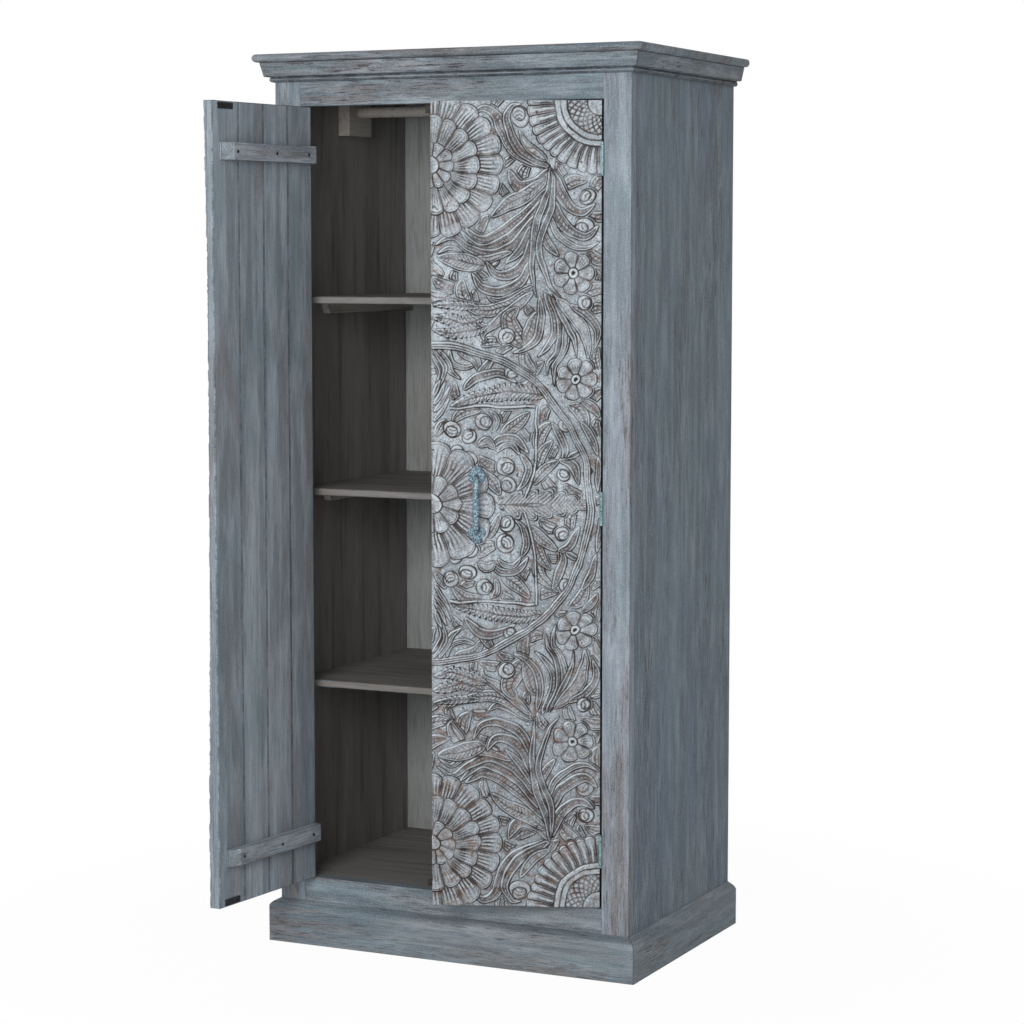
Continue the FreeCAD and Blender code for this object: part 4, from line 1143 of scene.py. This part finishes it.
def add_grip(bm, centre, rise, standoff):
    """The bar of a handle: oval, thickest in the middle, bent in to its feet."""
    line = smooth_line(GRIP_PATH_SHARES)
    path = [line[round(i * (SPINE_STEPS - 1) / GRIP_STEPS)] for i in range(GRIP_STEPS + 1)]
    points = [(rise * up, -standoff * out) for up, out in path]
    rings = []
    for i, (up, out) in enumerate(points):
        before = points[max(i - 1, 0)]
        after = points[min(i + 1, len(points) - 1)]
        ahead = Vector((after[0] - before[0], after[1] - before[1])).normalized()
        swell = max(0.0, math.cos(math.pi / 2 * up / rise)) ** GRIP_SWELL
        fullness = GRIP_END_SHARE + (1 - GRIP_END_SHARE) * swell
        ring = []
        for k in range(ROUND_STEPS):
            angle = TWO_PI * k / ROUND_STEPS
            aside = GRIP_WIDTH / 2 * fullness * math.cos(angle)
            deep = GRIP_THICKNESS / 2 * fullness * math.sin(angle)
            ring.append(centre + Vector((aside, out + deep * ahead[0], up - deep * ahead[1])))
        rings.append(ring)
    add_rings(bm, rings)


def add_turned(bm, ring_shares, steps, place):
    """A skin of rings, each given by its size and lift, with a function that places their points."""
    angles = [TWO_PI * k / steps for k in range(steps)]
    add_rings(bm, [[place(size, lift, angle) for angle in angles] for size, lift in ring_shares])


def add_foot(bm, centre, reach, outward):
    """A three-lobed plate with a rounded rim, one lobe pointing away from the bar."""
    def place(size, lift, angle):
        lobe = abs(math.cos(FOOT_LOBES * angle / 2)) ** FOOT_ROUNDNESS
        far = size * reach * (1 - FOOT_DIP_SHARE + FOOT_DIP_SHARE * lobe)
        rise = outward * far * math.cos(angle)
        return centre + Vector((far * math.sin(angle), -FOOT_THICKNESS * lift, rise))

    add_turned(bm, FOOT_RING_SHARES, FOOT_LOBES * ROUND_STEPS, place)


def add_screw(bm, centre, facing):
    """A domed screw head with a slot, facing along a direction."""
    turn = Vector(facing).to_track_quat("Z", "Y")

    def place(size, lift, angle):
        aside = size * math.sin(angle)
        in_slot = abs(aside) < SLOT_SHARE and lift > SLOT_START_SHARE
        rise = SCREW_RISE * (lift - SLOT_DEPTH_SHARE * in_slot)
        spot = Vector((SCREW_RADIUS * size * math.cos(angle), SCREW_RADIUS * aside, rise))
        return Vector(centre) + turn @ spot

    add_turned(bm, SCREW_RING_SHARES, ROUND_STEPS, place)


def make_handle(side):
    """One door's handle: bar, two feet and their screws."""
    node = side + "_door_handle"
    low, high = local_box(node, DOOR[side])
    centre = Vector(((low.x + high.x) / 2, high.y, (low.z + high.z) / 2))
    reach = (high.x - low.x) / 2
    rise = (high.z - low.z) / 2 - reach
    bm = bmesh.new()
    add_grip(bm, centre, rise, high.y - low.y - GRIP_THICKNESS / 2)
    for outward in (-1, 1):
        foot = centre + Vector((0, 0, outward * rise))
        add_foot(bm, foot, reach, outward)
        add_screw(bm, foot + Vector((0, -FOOT_THICKNESS, outward * reach / 2)), (0, -1, 0))
    piece = new_piece(node + "_forged", bm, HANDLE_METAL, side)
    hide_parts(node)


def batten_screws(side):
    """Screw heads along the battens on a door's inner face."""
    bm = bmesh.new()
    for end in ("top", "bottom"):
        low, high = local_box(f"{side}_door_batten_{end}", DOOR[side])
        for share in SCREW_PLACE_SHARES:
            along = share if side == "left" else 1 - share
            place = (low.x + along * (high.x - low.x), high.y, (low.z + high.z) / 2)
            add_screw(bm, place, (0, 1, 0))
    new_piece(side + "_door_batten_screws", bm, STRIKE_STEEL, side)


for side in SIDES:
    make_handle(side)
    batten_screws(side)


# Floor, light and camera

WHITE = colour(255, 255, 255)
SKY_COLOUR = colour(252, 253, 255)
SKY_LIGHT = 0.4
FLOOR_COLOUR = colour(236, 236, 236)
FLOOR_LIGHT_COLOUR = colour(242, 242, 242)
FLOOR_HALF = 30.0
FLOOR_NOISES = {"cloud": (1.0, 3.0, 5.0, 0.6)}
FLOOR_ROUGHNESS = 0.9
FLOOR_WHITE_SHARE = 0.965
FLOOR_SHADE_REACH = 0.7
FLOOR_CLEAR_REACH = 1.6
LAMP_AIM = (0.0, -0.2, 1.0)
# Lamps: place, size and power
LAMPS = {
    "key": ((0.9, -5.0, 2.1), 2.0, 165.0),
    "fill": ((3.8, -4.2, 2.0), 3.0, 15.0),
    "back": ((-3.0, 5.0, 2.4), 3.0, 70.0),
    "left": ((-5.0, -1.2, 2.2), 3.0, 40.0),
}
CAMERA_PLACE = (2.5956, -5.3754, 1.491)
CAMERA_TURN = 0.4482
CAMERA_DIP = 0.0946
CAMERA_LENS = 97.2
CAMERA_SENSOR = 36.0


def seen_directly(shader):
    """One for a ray from the camera or from a mirror or glass, and zero for the others."""
    seen = shader.node("LightPath", {}, "Is Camera Ray")
    for name in ("Is Glossy Ray", "Is Transmission Ray"):
        seen = shader.math("MAXIMUM", seen, shader.node("LightPath", {}, name))
    return seen


def show_white(shader, share, white, output):
    """Lays plain white over a surface where it is seen directly."""
    mix = shader.node("MixShader", {0: share, 1: shader.surface.outputs[0], 2: white})
    shader.tree.links.new(mix, shader.tree.nodes[output].inputs["Surface"])


def make_world():
    """White where it is seen, and a soft even light elsewhere."""
    world = bpy.data.worlds.new("studio")
    shader = Shader("studio", world)
    shader.put(shader.surface.inputs["Color"], SKY_COLOUR)
    shader.put(shader.surface.inputs["Strength"], SKY_LIGHT)
    white = shader.node("Background", {"Color": WHITE})
    show_white(shader, seen_directly(shader), white, "World Output")
    bpy.context.scene.world = world


def make_floor():
    """A pale floor that shows almost white and keeps a soft shadow."""
    mesh = bpy.data.meshes.new("floor")
    corners = [(aside * FLOOR_HALF, back * FLOOR_HALF, 0)
               for aside, back in ((-1, -1), (1, -1), (1, 1), (-1, 1))]
    mesh.from_pydata(corners, [], [(0, 1, 2, 3)])
    floor = add_object("floor", mesh)
    shader = Shader("pale_floor")
    cloud = shader.spread(shader.noises(shader.place(), FLOOR_NOISES)["cloud"])
    shader.finish(shader.mix(cloud, FLOOR_COLOUR, FLOOR_LIGHT_COLOUR), FLOOR_ROUGHNESS)
    glow = shader.node("Emission", {"Color": WHITE, "Strength": 1.0})
    away = shader.node("VectorMath", {0: shader.place()}, "Value", operation="LENGTH")
    white = shader.step(away, FLOOR_SHADE_REACH, FLOOR_CLEAR_REACH, FLOOR_WHITE_SHARE)
    share = shader.math("MULTIPLY", seen_directly(shader), white)
    show_white(shader, share, glow, "Material Output")
    mesh.materials.append(shader.material)


def make_lamp(name, place, size, power):
    """A soft square lamp that looks at the wardrobe."""
    lamp = bpy.data.lights.new(name, "AREA")
    lamp.size = size
    lamp.energy = power
    made = add_object(name, lamp)
    made.location = place
    made.rotation_euler = (Vector(LAMP_AIM) - Vector(place)).to_track_quat("-Z", "Y").to_euler()


def make_camera():
    """The camera at the photograph's place."""
    data = bpy.data.cameras.new("camera")
    data.lens = CAMERA_LENS
    data.sensor_width = CAMERA_SENSOR
    camera = add_object("camera", data)
    camera.location = CAMERA_PLACE
    camera.rotation_euler = (math.pi / 2 - CAMERA_DIP, 0.0, CAMERA_TURN)
    bpy.context.scene.camera = camera


make_world()
make_floor()
for name, lamp in LAMPS.items():
    make_lamp(name, *lamp)
make_camera()
bpy.context.scene.view_settings.view_transform = "Standard"
